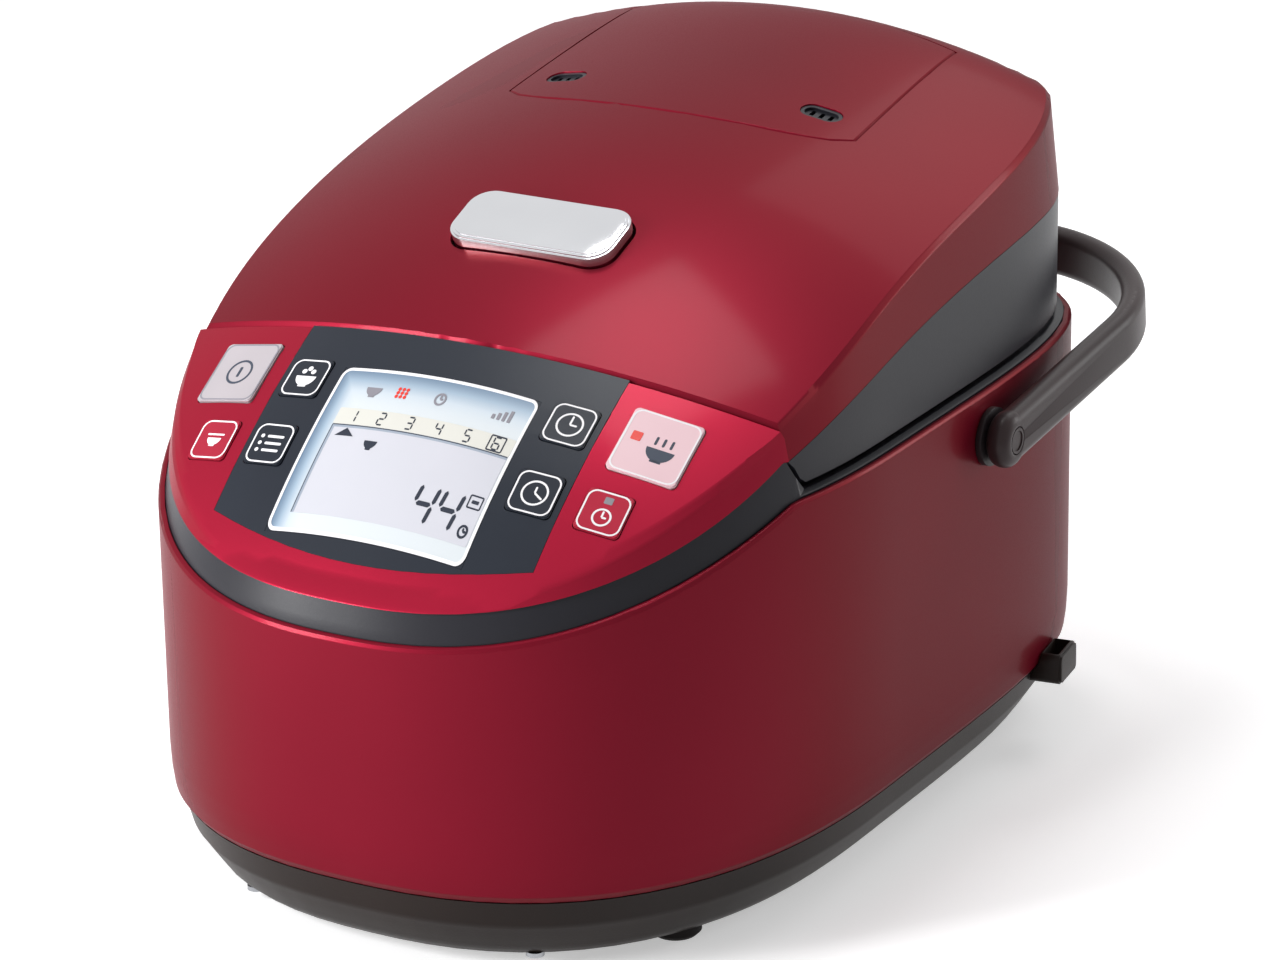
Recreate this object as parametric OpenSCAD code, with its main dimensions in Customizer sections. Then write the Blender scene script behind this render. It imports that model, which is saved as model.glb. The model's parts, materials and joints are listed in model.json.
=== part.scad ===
// Pressure induction rice cooker, 5.5-cup size, with a carrying bail and a lift-off steam cap.
// The plan of every outer shell is one superellipse, widest at wide_y; the crown over the lid and
// the sloping control panel is one height surface.  Seams, lips and cut-outs follow those two.

/* [Body outline] */
// Half of the body's width
half_width = 126.8; // [120:0.1:134]
// Front edge of the body, measured from the widest section
front_depth = 159.5; // [154:0.5:165]
// Rear wall of the body, measured from the widest section
rear_depth = 194.8; // [190:0.1:200]
// Squareness of the front half of the outline (2 is an ellipse)
front_power = 2.43; // [2.2:0.01:2.7]
// Squareness of the rear half of the outline
rear_power = 4.84; // [4:0.01:5.5]

/* [Heights] */
// Top of the feet, where the base pan starts
foot_h = 5; // [4:0.5:6]
// Bottom edge of the red body shell
shell_bottom_z = 29.5; // [27:0.5:32]
// Top edge of the body shell beside the lid
shell_top_z = 154; // [153:0.5:155]
// Top edge of the body shell at the very front
shell_front_z = 118; // [115:0.5:121]
// Where the front edge of the shell has climbed to the side height, from the widest section
climb_end_y = -62; // [-64:0.5:-60]
// Bottom edge of the lid skirt
skirt_bottom_z = 157; // [156.5:0.5:158]
// Line between red cover and grey skirt at the rear of the lid
side_line_z = 200; // [197:0.5:203]
// Drop of that line from the rear to the front corner of the lid
side_line_drop = 31; // [28:0.5:33]

/* [Crown] */
// Radius of the crown across the lid and the panel
crown_r = 300; // [280:5:330]
// Raises or lowers the whole crown
crown_lift = 0; // [-1.5:0.25:2]

/* [Shells] */
// Wall of the body shell
shell_wall = 2.2; // [1.8:0.1:2.6]
// Wall of the lid cover and of the control bezel
cover_wall = 3; // [2.6:0.1:3.4]
// Wall of the lid skirt, the shoulder frame and the base pan
trim_wall = 2.6; // [2.2:0.1:3]
// Clearance between neighbouring mouldings
fit_gap = 0.3; // [0.25:0.01:0.4]
// Visible shadow gap between lid and bezel
seam_gap = 0.8; // [0.7:0.1:1.2]

/* [Pot] */
// Outer radius of the pot's side
pot_r = 98; // [94:0.5:99]
// Wall of the pot
pot_wall = 2.6; // [2:0.1:3.2]
// Underside of the pot
pot_bottom_z = 42; // [41:0.5:46]
// Centre of the pot, from the widest section
pot_y = 44; // [42:0.5:46]
// Radius of the curve between the pot's side and bottom
pot_corner_r = 34; // [28:1:38]

/* [Handle] */
// Height of the pivots of the bail
bail_z = 137.3; // [134:0.1:140]
// Pivots of the bail, from the widest section
bail_y = 67.4; // [64:0.1:70]
// Reach of the bail from its pivots to its rear face
bail_reach = 164.2; // [157:0.5:164]
// Thickness of the bail, seen from above
bail_t = 9; // [8:0.5:10]
// Height of the bail's section
bail_h = 18.8; // [16:0.1:20]
// Radius of the bail's two corners, at their outer face
bail_corner = 74.3; // [66:0.1:84]
// Rise of the resting bail towards the rear
bail_tilt = 6; // [5:0.25:6.5]

/* [Mechanism] */
// Width of the chrome opening button
button_w = 64; // [60:0.5:68]
// Length of the button along the slope
button_l = 28; // [26:0.5:30]
// Travel of the button
button_travel = 4; // [3:0.5:4.5]
// Travel of a panel key
key_travel = 0.7; // [0.5:0.1:0.9]
// Radius of the lid's hinge pin
hinge_pin_r = 2.5; // [2:0.1:2.8]
// Height of the hinge axis
hinge_z = 160; // [159:0.5:161]
// Hinge axis, in from the rear wall
hinge_in = 9; // [8.5:0.5:10]

/* [Hidden] */
$fn = 64;

// ---- plan and crown -------------------------------------------------------------------------

rear_reach = bail_y + bail_reach * cos(bail_tilt) + bail_h / 2 * sin(bail_tilt);
wide_y = (front_depth - rear_reach) / 2;
plan_angles = concat(
    [for (k = [0:51]) -20 + 220 * k / 52],
    [for (k = [0:8]) 200 + 18 * k / 9],
    [for (k = [0:23]) 218 + 104 * k / 24],
    [for (k = [0:8]) 322 + 18 * k / 9]
);
side_steps = 60;
seam_steps = 24;
front_steps = 44;

// Heights that steer the crown along the middle line, evenly spaced from front edge to rear wall
crown_heights = [121.9, 198.5, 200.2, 267.4, 222.4, 266.4, 251.8];
crown_terms = [1, 6, 15, 20, 15, 6, 1];
seam_mid_y = -73;
seam_r = 575;
side_inset = 4.5;
side_line_y = 150;
side_line_run = 206;
crease_inset = 8.8;
// Inset and height of the base pan's side above the feet, then of the shell's lower edge
pan_side = [[14, 2.6], [10.4, 8], [5.8, 15.5]];
shell_foot = [[3.5, 0], [1, 3.5], [0.35, 9], [0, 17]];
band_h = 9.4;
band_growth = 5.6;
fold_h = 7;
bezel_lip = 0.9;
band_fall = 0.5;
hinge_lift = 9.5;
rim_step = 1.2;
lid_mid = [0, 56];
bezel_mid = [0, -108];

function clamp01(t) = min(1, max(0, t));
function smooth(t) = let (u = clamp01(t)) u * u * (3 - 2 * u);
function plan(p, i) =
    let (s = sin(p), front = s < 0)
    let (b = (front ? front_depth : rear_depth) - i, n = front ? front_power : rear_power)
    let (r = pow(pow(abs(cos(p)) / (half_width - i), n) + pow(abs(s) / b, n), -1 / n))
    [r * cos(p), r * s];
function crown_mid(y) =
    let (u = (y + front_depth) / (front_depth + rear_depth))
    soft_min(
        crown_lift + [for (k = [0:6]) crown_heights[k] * pow(u, k) * pow(1 - u, 6 - k)] * crown_terms,
        under_bail(y),
        3
    );

// Lesser of a and b, with the change from one to the other rounded by r
function soft_min(a, b, r) = (a + b - sqrt(pow(a - b, 2) + r * r)) / 2;

// Height below which the bail swings clear over the rear of the lid
function under_bail(y) = bail_z + sqrt(pow(bail_reach - bail_t - swing_room, 2) - pow(max(0, y - bail_y), 2));
function crown(x, y) = crown_mid(y) - x * x / (2 * crown_r);
function slope_y(x, y) = atan((crown(x, y + 0.5) - crown(x, y - 0.5)));
function slope_x(x, y) = atan(-x / crown_r * cos(slope_y(x, y)));
function wall_top(y) =
    let (climb = (y + front_depth) / (climb_end_y + front_depth))
    min(shell_top_z, shell_front_z + (shell_top_z - shell_front_z) * climb);
function band_top(y) = wall_top(y) + band_h + band_growth * pow((y + front_depth) / 100, 3);
function side_line(y) = side_line_z - side_line_drop * pow(max(0, (side_line_y - y) / side_line_run), 2.2);
// Share of the band's height left: it runs out just behind the seam, where the skirt begins
function band_share(y) = 1 - smooth((y - climb_end_y + 2) / 12);
function band_face(y) = wall_top(y) + rim_step + (band_top(y) - wall_top(y) - rim_step) * band_share(y);
function skirt_bottom(x, y) =
    let (room = min(band_face(y) - wall_top(y) - rim_step + 0.5, side_line(y) - skirt_bottom_z - 0.8))
    skirt_bottom_z + hinge_lift * smooth((y - hinge_y + 13) / 12) + max(0, room) * smooth((abs(x) - 90) / 16);
function seam_y(x) = seam_mid_y + x * x / (2 * seam_r);

// Polar angle at which the outline, set in by i, meets the seam, set back by j
function corner_angle(i, j, lo = -80, hi = 80, k = 20) =
    let (m = (lo + hi) / 2, q = plan(m, i))
    k == 0 ? m
    : q[1] < seam_y(q[0]) + j ? corner_angle(i, j, m, hi, k - 1)
    : corner_angle(i, j, lo, m, k - 1);
function lid_contour(i, j) =
    let (a = corner_angle(i, j), x = plan(a, i)[0])
    concat(
        [for (k = [0:side_steps - 1])
            let (t = k / side_steps)
            plan(a + (180 - 2 * a) * (t - 0.11 * sin(360 * t)), i)],
        [for (k = [0:seam_steps - 1]) let (u = -x + 2 * x * k / seam_steps) [u, seam_y(u) + j]]
    );
// The bezel's crease runs in from the edge by grow more at the front than at the sides
function bezel_contour(i, j, grow = 0) =
    let (a = corner_angle(i, -j), x = plan(a, i)[0])
    concat(
        [for (k = [0:front_steps - 1])
            let (p = 180 - a + (180 + 2 * a) * (k / front_steps - 0.1 * sin(360 * k / front_steps)))
            plan(p, i + grow * pow(-sin(p), 3) * smooth(k / 6) * smooth((front_steps - k) / 6))],
        [for (k = [0:seam_steps - 1]) let (u = x - 2 * x * k / seam_steps) [u, seam_y(u) - j]]
    );
function shrink(pts, s, mid) = [for (q = pts) mid + s * (q - mid)];
function on_crown(pts, drop) = [for (q = pts) [q[0], q[1], crown(q[0], q[1]) - drop]];
function plan_ring(i, height) =
    [for (p = plan_angles) let (q = plan(p, i)) [q[0], q[1], height(q[1])]];
function level(z) = function (y) z;
function middle(ring) = [for (a = [0:2]) [for (q = ring) q[a]] * [for (q = ring) 1 / len(ring)]];

// ---- lofts ----------------------------------------------------------------------------------

function flat(lists) = [for (l = lists) for (e = l) e];
function skin(rows, n, wrap) =
    [for (r = [0:rows - (wrap ? 1 : 2)]) for (k = [0:n - 1])
        let (a = r * n, b = ((r + 1) % rows) * n, m = (k + 1) % n)
        each [[a + k, b + k, b + m], [a + k, b + m, a + m]]];

// Solid through a stack of rings with its ends closed by fans
module capped_loft(rings) {
    n = len(rings[0]);
    rows = len(rings);
    lo = rows * n;
    ends = [middle(rings[0]), middle(rings[rows - 1])];
    polyhedron(
        concat(flat(rings), ends),
        concat(
            skin(rows, n, false),
            [for (k = [0:n - 1]) [lo, k, (k + 1) % n]],
            [for (k = [0:n - 1]) [lo + 1, (rows - 1) * n + (k + 1) % n, (rows - 1) * n + k]]
        )
    );
}

// Closed hoop whose section is drawn by the rings in turn
module hoop_loft(rings) {
    polyhedron(flat(rings), skin(len(rings), len(rings[0]), true));
}

// Sheet that follows the crown between two drops, over x0..x1 and front(x)..rear(x)
module crown_patch(x0, x1, front, rear, top_drop, low_drop, nx = 14, ny = 8) {
    xs = [for (k = [0:nx]) x0 + (x1 - x0) * k / nx];
    rows = [for (drop = [low_drop, top_drop])
        [for (r = [0:ny]) [for (x = xs)
            let (y = front(x) + (rear(x) - front(x)) * r / ny) [x, y, crown(x, y) - drop]]]];
    w = nx + 1;
    top = w * (ny + 1);
    rim = concat(
        [for (k = [0:nx - 1]) k],
        [for (r = [0:ny - 1]) r * w + nx],
        [for (k = [0:nx - 1]) ny * w + nx - k],
        [for (r = [0:ny - 1]) (ny - r) * w]
    );
    polyhedron(
        flat(flat(rows)),
        concat(
            [for (r = [0:ny - 1]) for (k = [0:nx - 1])
                let (a = r * w + k)
                each [[a, a + 1, a + w + 1], [a, a + w + 1, a + w],
                      [top + a, top + a + w + 1, top + a + 1], [top + a, top + a + w, top + a + w + 1]]],
            [for (k = [0:len(rim) - 1])
                let (a = rim[k], b = rim[(k + 1) % len(rim)])
                each [[a, top + a, top + b], [a, top + b, b]]]
        )
    );
}

// Places children on the crown at x, y with +Z along its normal
module on_slope(x, y) {
    translate([x, y, crown(x, y)])
        rotate([slope_y(x, y), 0, 0])
            rotate([0, -slope_x(x, y), 0])
                children();
}

module placed() {
    translate([0, wide_y, 0])
        children();
}

module rounded(w, l, r) {
    hull_x = w / 2 - r;
    hull_y = l / 2 - r;
    for (x = [-hull_x, hull_x])
        for (y = [-hull_y, hull_y])
            translate([x, y])
                circle(r);
    square([w, 2 * hull_y], center = true);
    square([2 * hull_x, l], center = true);
}

module slab(w, l, r, z0, z1) {
    translate([0, 0, z0])
        linear_extrude(z1 - z0)
            rounded(w, l, r);
}

module post(x, y, z0, z1, r) {
    translate([x, y, z0])
        cylinder(h = z1 - z0, r = r);
}

// Cylinder along X between x0 and x1
module axle(x0, x1, y, z, r) {
    translate([x0, y, z])
        rotate([0, 90, 0])
            cylinder(h = x1 - x0, r = r);
}

// Profile drawn in Y and Z, given a width along X
module side_cut(x0, x1) {
    translate([x0, 0, 0])
        rotate([90, 0, 90])
            linear_extrude(x1 - x0)
                children();
}

// ---- fits worked out from the sizes above ---------------------------------------------------

deck_top = shell_top_z - 1;
deck_t = 3;
mouth_r = pot_r + 4;
liner_r = pot_r + 1;
liner_wall = 1.6;
liner_floor = pot_bottom_z - 3;
flange_r = mouth_r + 3.5;
rim_z = deck_top + 2;
pot_rim_r = mouth_r + 2.5;
pot_rim_t = 1.6;
inner_cover_z = rim_z + 5;
inner_cover_t = 3;
coil_top = liner_floor - liner_wall - 1;
carrier_top = coil_top - 6;
carrier_t = 3;
floor_top = foot_h + 3;
sensor_r = 14;
boss_r = 5.2;
boss_x = [34, 46];
knuckle_x = [21.3, 33.6];
lid_screw_pos = [for (side = [1, -1], q = [[100, -30], [92, rear_depth - 52]]) [side * q[0], q[1]]];
running = 0.06;
hinge_y = rear_depth - hinge_in;
bail_round = 4.2;
foot_pos = [for (side = [1, -1], y = [-84, rear_depth - 73]) [side * 85, y]];
foot_r = 9;
screw_r = 1.5;
screw_pos = [[56, -128], [-56, -128], [88, 92], [-88, 92]];
fan_pos = [46, -88];
fan_r = 30;
fan_h = 16;
reel_r = 46;
reel_t = 28;
reel_foot_w = 36;
reel_pos = [10, rear_depth - reel_t - 14.8, floor_top + reel_r + 16];
outlet_z = 48;
outlet_w = 46;
outlet_h = 24;
bush_r = 10.5;
stud_r = 5;
stud_set = 2;
swing_room = 2;
arm_x = half_width + 2.6;
cap_front_y = 59.3;
cap_front_r = 280;
cap_half = 71;
cap_rear_y = rear_depth - 30;
cap_wall = 2.6;
cap_skirt = 4.6;
cap_steps = [0.12, 0.38, 0.62, 0.8, 0.91];
tray_drop = 5;
tray_t = 2.4;
vent_pos = [52.3, 84];
vent_w = 16;
vent_l = 9.5;
duct_pos = [0, 112];
duct_r = 11;
valve_pos = [0, 66];
panel_half = 62.5;
panel_t = 1.5;
panel_low_y = -145;
window_half = 38.5;
window_y = [-139.6, -87];
socket_y = rear_depth - 69;
socket_z = 31;
socket_w = 19;
socket_h = 11.5;
socket_out = 7.8;
socket_wall = 1.8;
socket_back = 0.2;
button_y = -21.5;
button_proud = 3.6;
well_depth = 16;
latch_pivot = [-56, 173];
latch_w = 14;
slot_y = [-70.5, -61.2];
key_big = [25.2, 26];
key_small = [16.3, 16.3];
board_tilt = atan((crown_mid(-87) - crown_mid(-139.6)) / 52.6);
board_drop = 15;
lcd_l = (window_y[1] - window_y[0]) / cos(board_tilt) + 3;

// ---- body shells ----------------------------------------------------------------------------

module body_shell() {
    placed()
        color("#8d1a2b")
            difference() {
                hoop_loft([
                    plan_ring(shell_wall + shell_foot[0][0], level(shell_bottom_z)),
                    for (q = shell_foot) plan_ring(q[0], level(shell_bottom_z + q[1])),
                    plan_ring(0, function (y) wall_top(y) - 1.4),
                    plan_ring(0.6, function (y) wall_top(y) - 0.3),
                    plan_ring(1.4, function (y) wall_top(y)),
                    plan_ring(shell_wall, function (y) wall_top(y)),
                    plan_ring(shell_wall, level(shell_bottom_z + shell_foot[3][1]))
                ]);
                axle(-half_width - 5, half_width + 5, bail_y, bail_z, bush_r - 2 + fit_gap);
                translate([reel_pos[0], rear_depth, outlet_z])
                    cube([outlet_w + 2 * fit_gap, 20, outlet_h + 2 * fit_gap], center = true);
            }
}

// Tub that closes the bottom, with a lip that stands up inside the body shell
module base_pan() {
    lip_i = shell_foot[0][0] + shell_wall + 1.6;
    placed()
        color("#33211f")
            difference() {
                union() {
                    hoop_loft([
                        plan_ring(pan_side[0][0] + 7, level(foot_h)),
                        plan_ring(pan_side[0][0] + 3, level(foot_h)),
                        for (q = pan_side) plan_ring(q[0], level(foot_h + q[1])),
                        plan_ring(shell_foot[0][0] + 0.1, level(shell_bottom_z - fit_gap)),
                        plan_ring(lip_i - 1.2, level(shell_bottom_z - fit_gap)),
                        plan_ring(lip_i - 1.2, level(shell_bottom_z + 5)),
                        plan_ring(lip_i + 0.8, level(shell_bottom_z + 5)),
                        plan_ring(pan_side[2][0] + trim_wall, level(foot_h + pan_side[2][1] + 1)),
                        plan_ring(pan_side[0][0] + 1 + trim_wall, level(floor_top))
                    ]);
                    translate([0, 0, foot_h])
                        linear_extrude(floor_top - foot_h)
                            polygon([for (p = plan_angles) plan(p, pan_side[0][0] + 5)]);
                    for (q = screw_pos)
                        post(q[0], q[1], floor_top - 1, floor_top + 8, 4);
                }
                for (q = foot_pos)
                    post(q[0], q[1], foot_h - 1, floor_top + 1, 2.5);
                for (q = screw_pos)
                    post(q[0], q[1], foot_h - 1, floor_top + 9, screw_r + 0.1);
                for (k = [-4:4])
                    translate([fan_pos[0] + 6 * k, fan_pos[1], foot_h + 1])
                        cube([2.6, 2 * sqrt(fan_r * fan_r - 36 * k * k) - 8, 8], center = true);
            }
}

module rubber_feet() {
    placed()
        color("#2a2222")
            for (q = foot_pos)
                translate([q[0], q[1], 0])
                    rotate_extrude()
                        polygon([
                            [0, 0], [foot_r - 1.5, 0], [foot_r, 1.5], [foot_r, foot_h - 0.01],
                            [2.4, foot_h - 0.01], [2.4, floor_top + 1.5], [0, floor_top + 1.5]
                        ]);
}

module base_screws() {
    placed()
        color("#9a9a9e")
            for (q = screw_pos) {
                post(q[0], q[1], foot_h - 1.6, foot_h, 3.2);
                post(q[0], q[1], foot_h - 0.5, floor_top + 7, screw_r);
            }
}

// Grey band under the bezel, deck round the pot, riser behind the panel and the hinge bosses
module shoulder_frame() {
    riser_x = corner_x(side_inset + cover_wall + 2);
    placed()
        color("#45454b")
            difference() {
                union() {
                    hoop_loft([
                        plan_ring(7.5, function (y) wall_top(y) - 7),
                        plan_ring(shell_wall + fit_gap, function (y) wall_top(y) - 7),
                        plan_ring(shell_wall + fit_gap, function (y) wall_top(y) + 0.4),
                        plan_ring(side_inset + 0.4, function (y) band_face(y)),
                        plan_ring(7.5, function (y) band_face(y) - band_fall)
                    ]);
                    translate([0, 0, deck_top - deck_t])
                        linear_extrude(deck_t)
                            polygon(lid_contour(5.5, -3.4));
                    riser(riser_x);
                    for (side = [-1, 1])
                        hinge_boss(side);
                }
                post(0, pot_y, deck_top - 10, deck_top + 5, mouth_r);
                translate([-latch_w / 2 - 1.5, slot_y[0], deck_top - 5])
                    cube([latch_w + 3, slot_y[1] - slot_y[0], 10]);
                axle(-knuckle_x[1] - 0.4, knuckle_x[1] + 0.4, hinge_y, hinge_z, boss_r + 0.8);
                axle(-60, 60, hinge_y, hinge_z, hinge_pin_r + 0.02);
            }
}

function corner_x(i) = plan(corner_angle(i, 0), i)[0];

module riser(half) {
    xs = [for (k = [0:20]) half * (k / 10 - 1)];
    rows = [for (x = xs) let (y1 = seam_y(x) - seam_gap / 2 - 0.2, y0 = y1 - 2.6)
        [[x, y0, deck_top - 2], [x, y1, deck_top - 2],
         [x, y1, crown(x, y1) - bezel_fold(x / half) - fit_gap],
         [x, y0, crown(x, y0) - bezel_fold(x / half) - fit_gap]]];
    last = 4 * 20;
    polyhedron(
        flat(rows),
        concat(
            [for (r = [0:19]) for (k = [0:3])
                let (a = 4 * r, m = (k + 1) % 4)
                each [[a + k, a + 4 + k, a + 4 + m], [a + k, a + 4 + m, a + m]]],
            [[0, 1, 2, 3], [last + 3, last + 2, last + 1, last]]
        )
    );
}

module hinge_boss(side) {
    x0 = side > 0 ? boss_x[0] : -boss_x[1];
    axle(x0, x0 + boss_x[1] - boss_x[0], hinge_y, hinge_z, boss_r);
    translate([x0, hinge_y - boss_r, deck_top - deck_t])
        cube([boss_x[1] - boss_x[0], 2 * boss_r, hinge_z - deck_top + deck_t]);
}

// ---- control panel --------------------------------------------------------------------------

function panel_front(x, in) = panel_low_y + in + 0.0028 * x * x;
function panel_rear(x, out) = seam_y(x) - seam_gap / 2 + out;

module control_bezel() {
    placed()
        color("#8d1a2b")
            difference() {
                capped_loft([
                    on_crown(shrink(bezel_contour(9.5, 4, 5), 0.36, bezel_mid), cover_wall),
                    on_crown(shrink(bezel_contour(9.5, 4, 5), 0.62, bezel_mid), cover_wall),
                    on_crown(shrink(bezel_contour(9.5, 4, 5), 0.83, bezel_mid), cover_wall),
                    on_crown(bezel_contour(9.5, 4, 5), cover_wall),
                    bezel_low(side_inset + cover_wall, 3.4),
                    bezel_low(side_inset - 0.5, seam_gap / 2),
                    bezel_edge(1.4, 0.75),
                    on_crown(bezel_contour(6, seam_gap / 2 + 0.9, 6), 0),
                    on_crown(shrink(bezel_contour(6, seam_gap / 2 + 0.9, 6), 0.82, bezel_mid), 0),
                    on_crown(shrink(bezel_contour(6, seam_gap / 2 + 0.9, 6), 0.6, bezel_mid), 0),
                    on_crown(shrink(bezel_contour(6, seam_gap / 2 + 0.9, 6), 0.34, bezel_mid), 0)
                ]);
                crown_patch(
                    -panel_half, panel_half, function (x) panel_front(x, 0), function (x) panel_rear(x, 4),
                    -4, panel_t
                );
                translate([-window_half + 2, window_y[0] + 2, 100])
                    cube([2 * window_half - 4, window_y[1] - window_y[0] - 4, 120]);
                for (k = keys)
                    key_hole(k);
            }
}

// Lower edge of the bezel: along the band at the front, a short fold along the seam
function bezel_low(i, j) =
    let (c = bezel_contour(i, j), x1 = c[front_steps][0])
    [for (k = [0:len(c) - 1])
        let (x = c[k][0], y = c[k][1])
        [x, y, max(band_face(y) + 0.4, k < front_steps ? 0 : crown(x, y) - bezel_fold(x / x1))]];
// The fold grows towards the corners, where it meets the band
function bezel_fold(t) =
    let (q = plan(corner_angle(side_inset, 0), side_inset))
    fold_h + (crown(q[0], q[1]) - band_face(q[1]) - 0.4 - fold_h) * pow(t, 4);
function bezel_edge(in, rise) =
    let (low = bezel_low(side_inset - 0.5 + in, seam_gap / 2))
    [for (q = low) [q[0], q[1], q[2] + max(bezel_lip, rise * (crown(q[0], q[1]) - q[2]))]];

module display_panel() {
    placed()
        color("#363c48")
            difference() {
                crown_patch(
                    -panel_half + fit_gap / 2, panel_half - fit_gap / 2,
                    function (x) panel_front(x, fit_gap / 2), function (x) panel_rear(x, 0),
                    0, panel_t - 0.05
                );
                translate([-window_half, window_y[0], 100])
                    cube([2 * window_half, window_y[1] - window_y[0], 120]);
                for (k = [2:5])
                    key_hole(keys[k]);
            }
}

module display_window() {
    placed()
        color("#c9d6dc")
            crown_patch(
                -window_half + fit_gap / 2, window_half - fit_gap / 2,
                function (x) window_y[0] + fit_gap / 2, function (x) window_y[1] - fit_gap / 2,
                0.1, panel_t - 0.05, 8, 6
            );
}

// Places children on the tilted plane of the control board, drop below the window's chord
module on_board(drop) {
    ends = [for (y = window_y) [0, y, crown(window_half, y)]];
    translate((ends[0] + ends[1]) / 2)
        rotate([board_tilt, 0, 0])
            translate([0, 0, -drop])
                children();
}

module lcd_module() {
    placed()
        color("#b7c4c9")
            on_board(board_drop)
                slab(2 * window_half + 5, lcd_l, 2, 0.02, board_drop - 5);
}

module control_board() {
    placed()
        color("#2f6b45")
            difference() {
                union() {
                    on_board(board_drop)
                        translate([0, 0, -1.6])
                            linear_extrude(1.6)
                                polygon([[-60, -36], [60, -36], [87, 0], [88, 33.6], [-88, 33.6], [-87, 0]]);
                    for (k = keys)
                        intersection() {
                            on_slope(k[0], k[1])
                                translate([0, 0, key_foot(k) - key_travel - fit_gap - 12])
                                    cylinder(h = 12, r = 3);
                            on_board(board_drop)
                                translate([-100, -50, -1])
                                    cube([200, 100, 40]);
                        }
                }
            }
}

// Each key: x, y, width, length along the slope
keys = [
    [-81.8, -87.3, key_big[0], key_big[1]],
    [-76.3, -112, key_small[0], key_small[1]],
    [-51.8, -91.4, key_small[0], key_small[1]],
    [-51.8, -114.4, key_small[0], key_small[1]],
    [51.8, -91.4, key_small[0], key_small[1]],
    [51.8, -114.4, key_small[0], key_small[1]],
    [81.8, -87.3, key_big[0], key_big[1]],
    [76.3, -112, key_small[0], key_small[1]]
];

// Lower end of a key's stem, along its normal: a short way above the control board
function board_z(x, y) =
    (crown(window_half, window_y[0]) + crown(window_half, window_y[1])) / 2
    + (y - (window_y[0] + window_y[1]) / 2) * tan(board_tilt) - board_drop / cos(board_tilt);
function key_foot(k) = -(crown(k[0], k[1]) - board_z(k[0], k[1])) * cos(slope_y(k[0], k[1])) + 3.2;

module key_hole(k) {
    on_slope(k[0], k[1])
        slab(k[2] + 2 * fit_gap, k[3] + 2 * fit_gap, 2, -8, 6);
}

module key(k) {
    placed()
        on_slope(k[0], k[1]) {
            slab(k[2], k[3], 1.8, -cover_wall - 1, 0.2);
            slab(k[2] - 0.8, k[3] - 0.8, 1.4, 0.1, 0.5);
            slab(k[2] + 2, k[3] + 2, 2, -cover_wall - 2, -cover_wall - 0.9);
            translate([0, 0, key_foot(k)])
                cylinder(h = -cover_wall - 1.5 - key_foot(k), r = 2);
        }
}

module key_cancel() {
    color("#b9b3b8")
        key(keys[0]);
}

module key_small_batch() {
    color("#a02638")
        key(keys[1]);
}

module key_rice() {
    color("#363c48")
        key(keys[2]);
}

module key_menu() {
    color("#363c48")
        key(keys[3]);
}

module key_hour() {
    color("#363c48")
        key(keys[4]);
}

module key_minute() {
    color("#363c48")
        key(keys[5]);
}

module key_start() {
    color("#d9b8bf")
        key(keys[6]);
}

module key_timer() {
    color("#a02638")
        key(keys[7]);
}

// ---- pot, liner and heating -----------------------------------------------------------------

module round_part() {
    placed()
        translate([0, pot_y, 0])
            rotate_extrude($fn = 96)
                children();
}

// Cup profile: outer radius r, wall w, from z0 up to z1, with a corner radius c
module cup_profile(r, w, z0, z1, c) {
    difference() {
        union() {
            translate([0, z0])
                square([r - c, c]);
            translate([0, z0 + c])
                square([r, z1 - z0 - c]);
            intersection() {
                translate([r - c, z0 + c])
                    circle(c);
                translate([0, z0])
                    square([r, c]);
            }
        }
        translate([0, z0 + w])
            square([r - c, c]);
        translate([0, z0 + c])
            square([r - w, z1 - z0]);
        intersection() {
            translate([r - c, z0 + c])
                circle(c - w);
            translate([0, z0 + w])
                square([r, c]);
        }
    }
}

module inner_pot() {
    color("#5b5450")
        round_part() {
            cup_profile(pot_r, pot_wall, pot_bottom_z, rim_z, pot_corner_r);
            translate([pot_r - pot_wall, rim_z - pot_rim_t + 0.6])
                square([pot_rim_r - pot_r + pot_wall, pot_rim_t]);
            translate([pot_rim_r, rim_z - pot_rim_t / 2 + 0.6])
                circle(pot_rim_t / 2);
        }
}

module well_liner() {
    color("#77777c")
        round_part() {
            difference() {
                cup_profile(liner_r + liner_wall, liner_wall, liner_floor - liner_wall, deck_top + 0.4, pot_corner_r + 1);
                translate([0, liner_floor - 10])
                    square([sensor_r + 1, 20]);
            }
            translate([liner_r, deck_top + 0.02])
                square([flange_r - liner_r, 0.6]);
        }
}

module coil_carrier() {
    placed()
        color("#d8d2c4")
            translate([0, pot_y, 0])
                difference() {
                    union() {
                        post(0, 0, carrier_top - carrier_t, carrier_top, 86);
                        post(0, 0, carrier_top - 1, coil_top - 0.3, sensor_r + 4);
                        for (a = [45:90:315])
                            rotate([0, 0, a])
                                post(78, 0, floor_top + 0.02, carrier_top, 4);
                    }
                    post(0, 0, 0, 60, sensor_r + 0.4);
                    for (a = [0:60:300])
                        rotate([0, 0, a])
                            translate([26, -4, carrier_top - carrier_t - 1])
                                cube([50, 8, 2.4]);
                }
}

module induction_coil() {
    color("#b5652d")
        round_part() {
            translate([28, carrier_top + 0.02])
                square([16, 4.5]);
            translate([50, carrier_top + 0.02])
                square([28, 4.5]);
        }
}

module ferrite_bars() {
    placed()
        color("#3b3b3f")
            translate([0, pot_y, 0])
                for (a = [0:60:300])
                    rotate([0, 0, a])
                        translate([27, -3.8, carrier_top - carrier_t - 2.4])
                            cube([48, 7.6, 3.7]);
}

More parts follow.
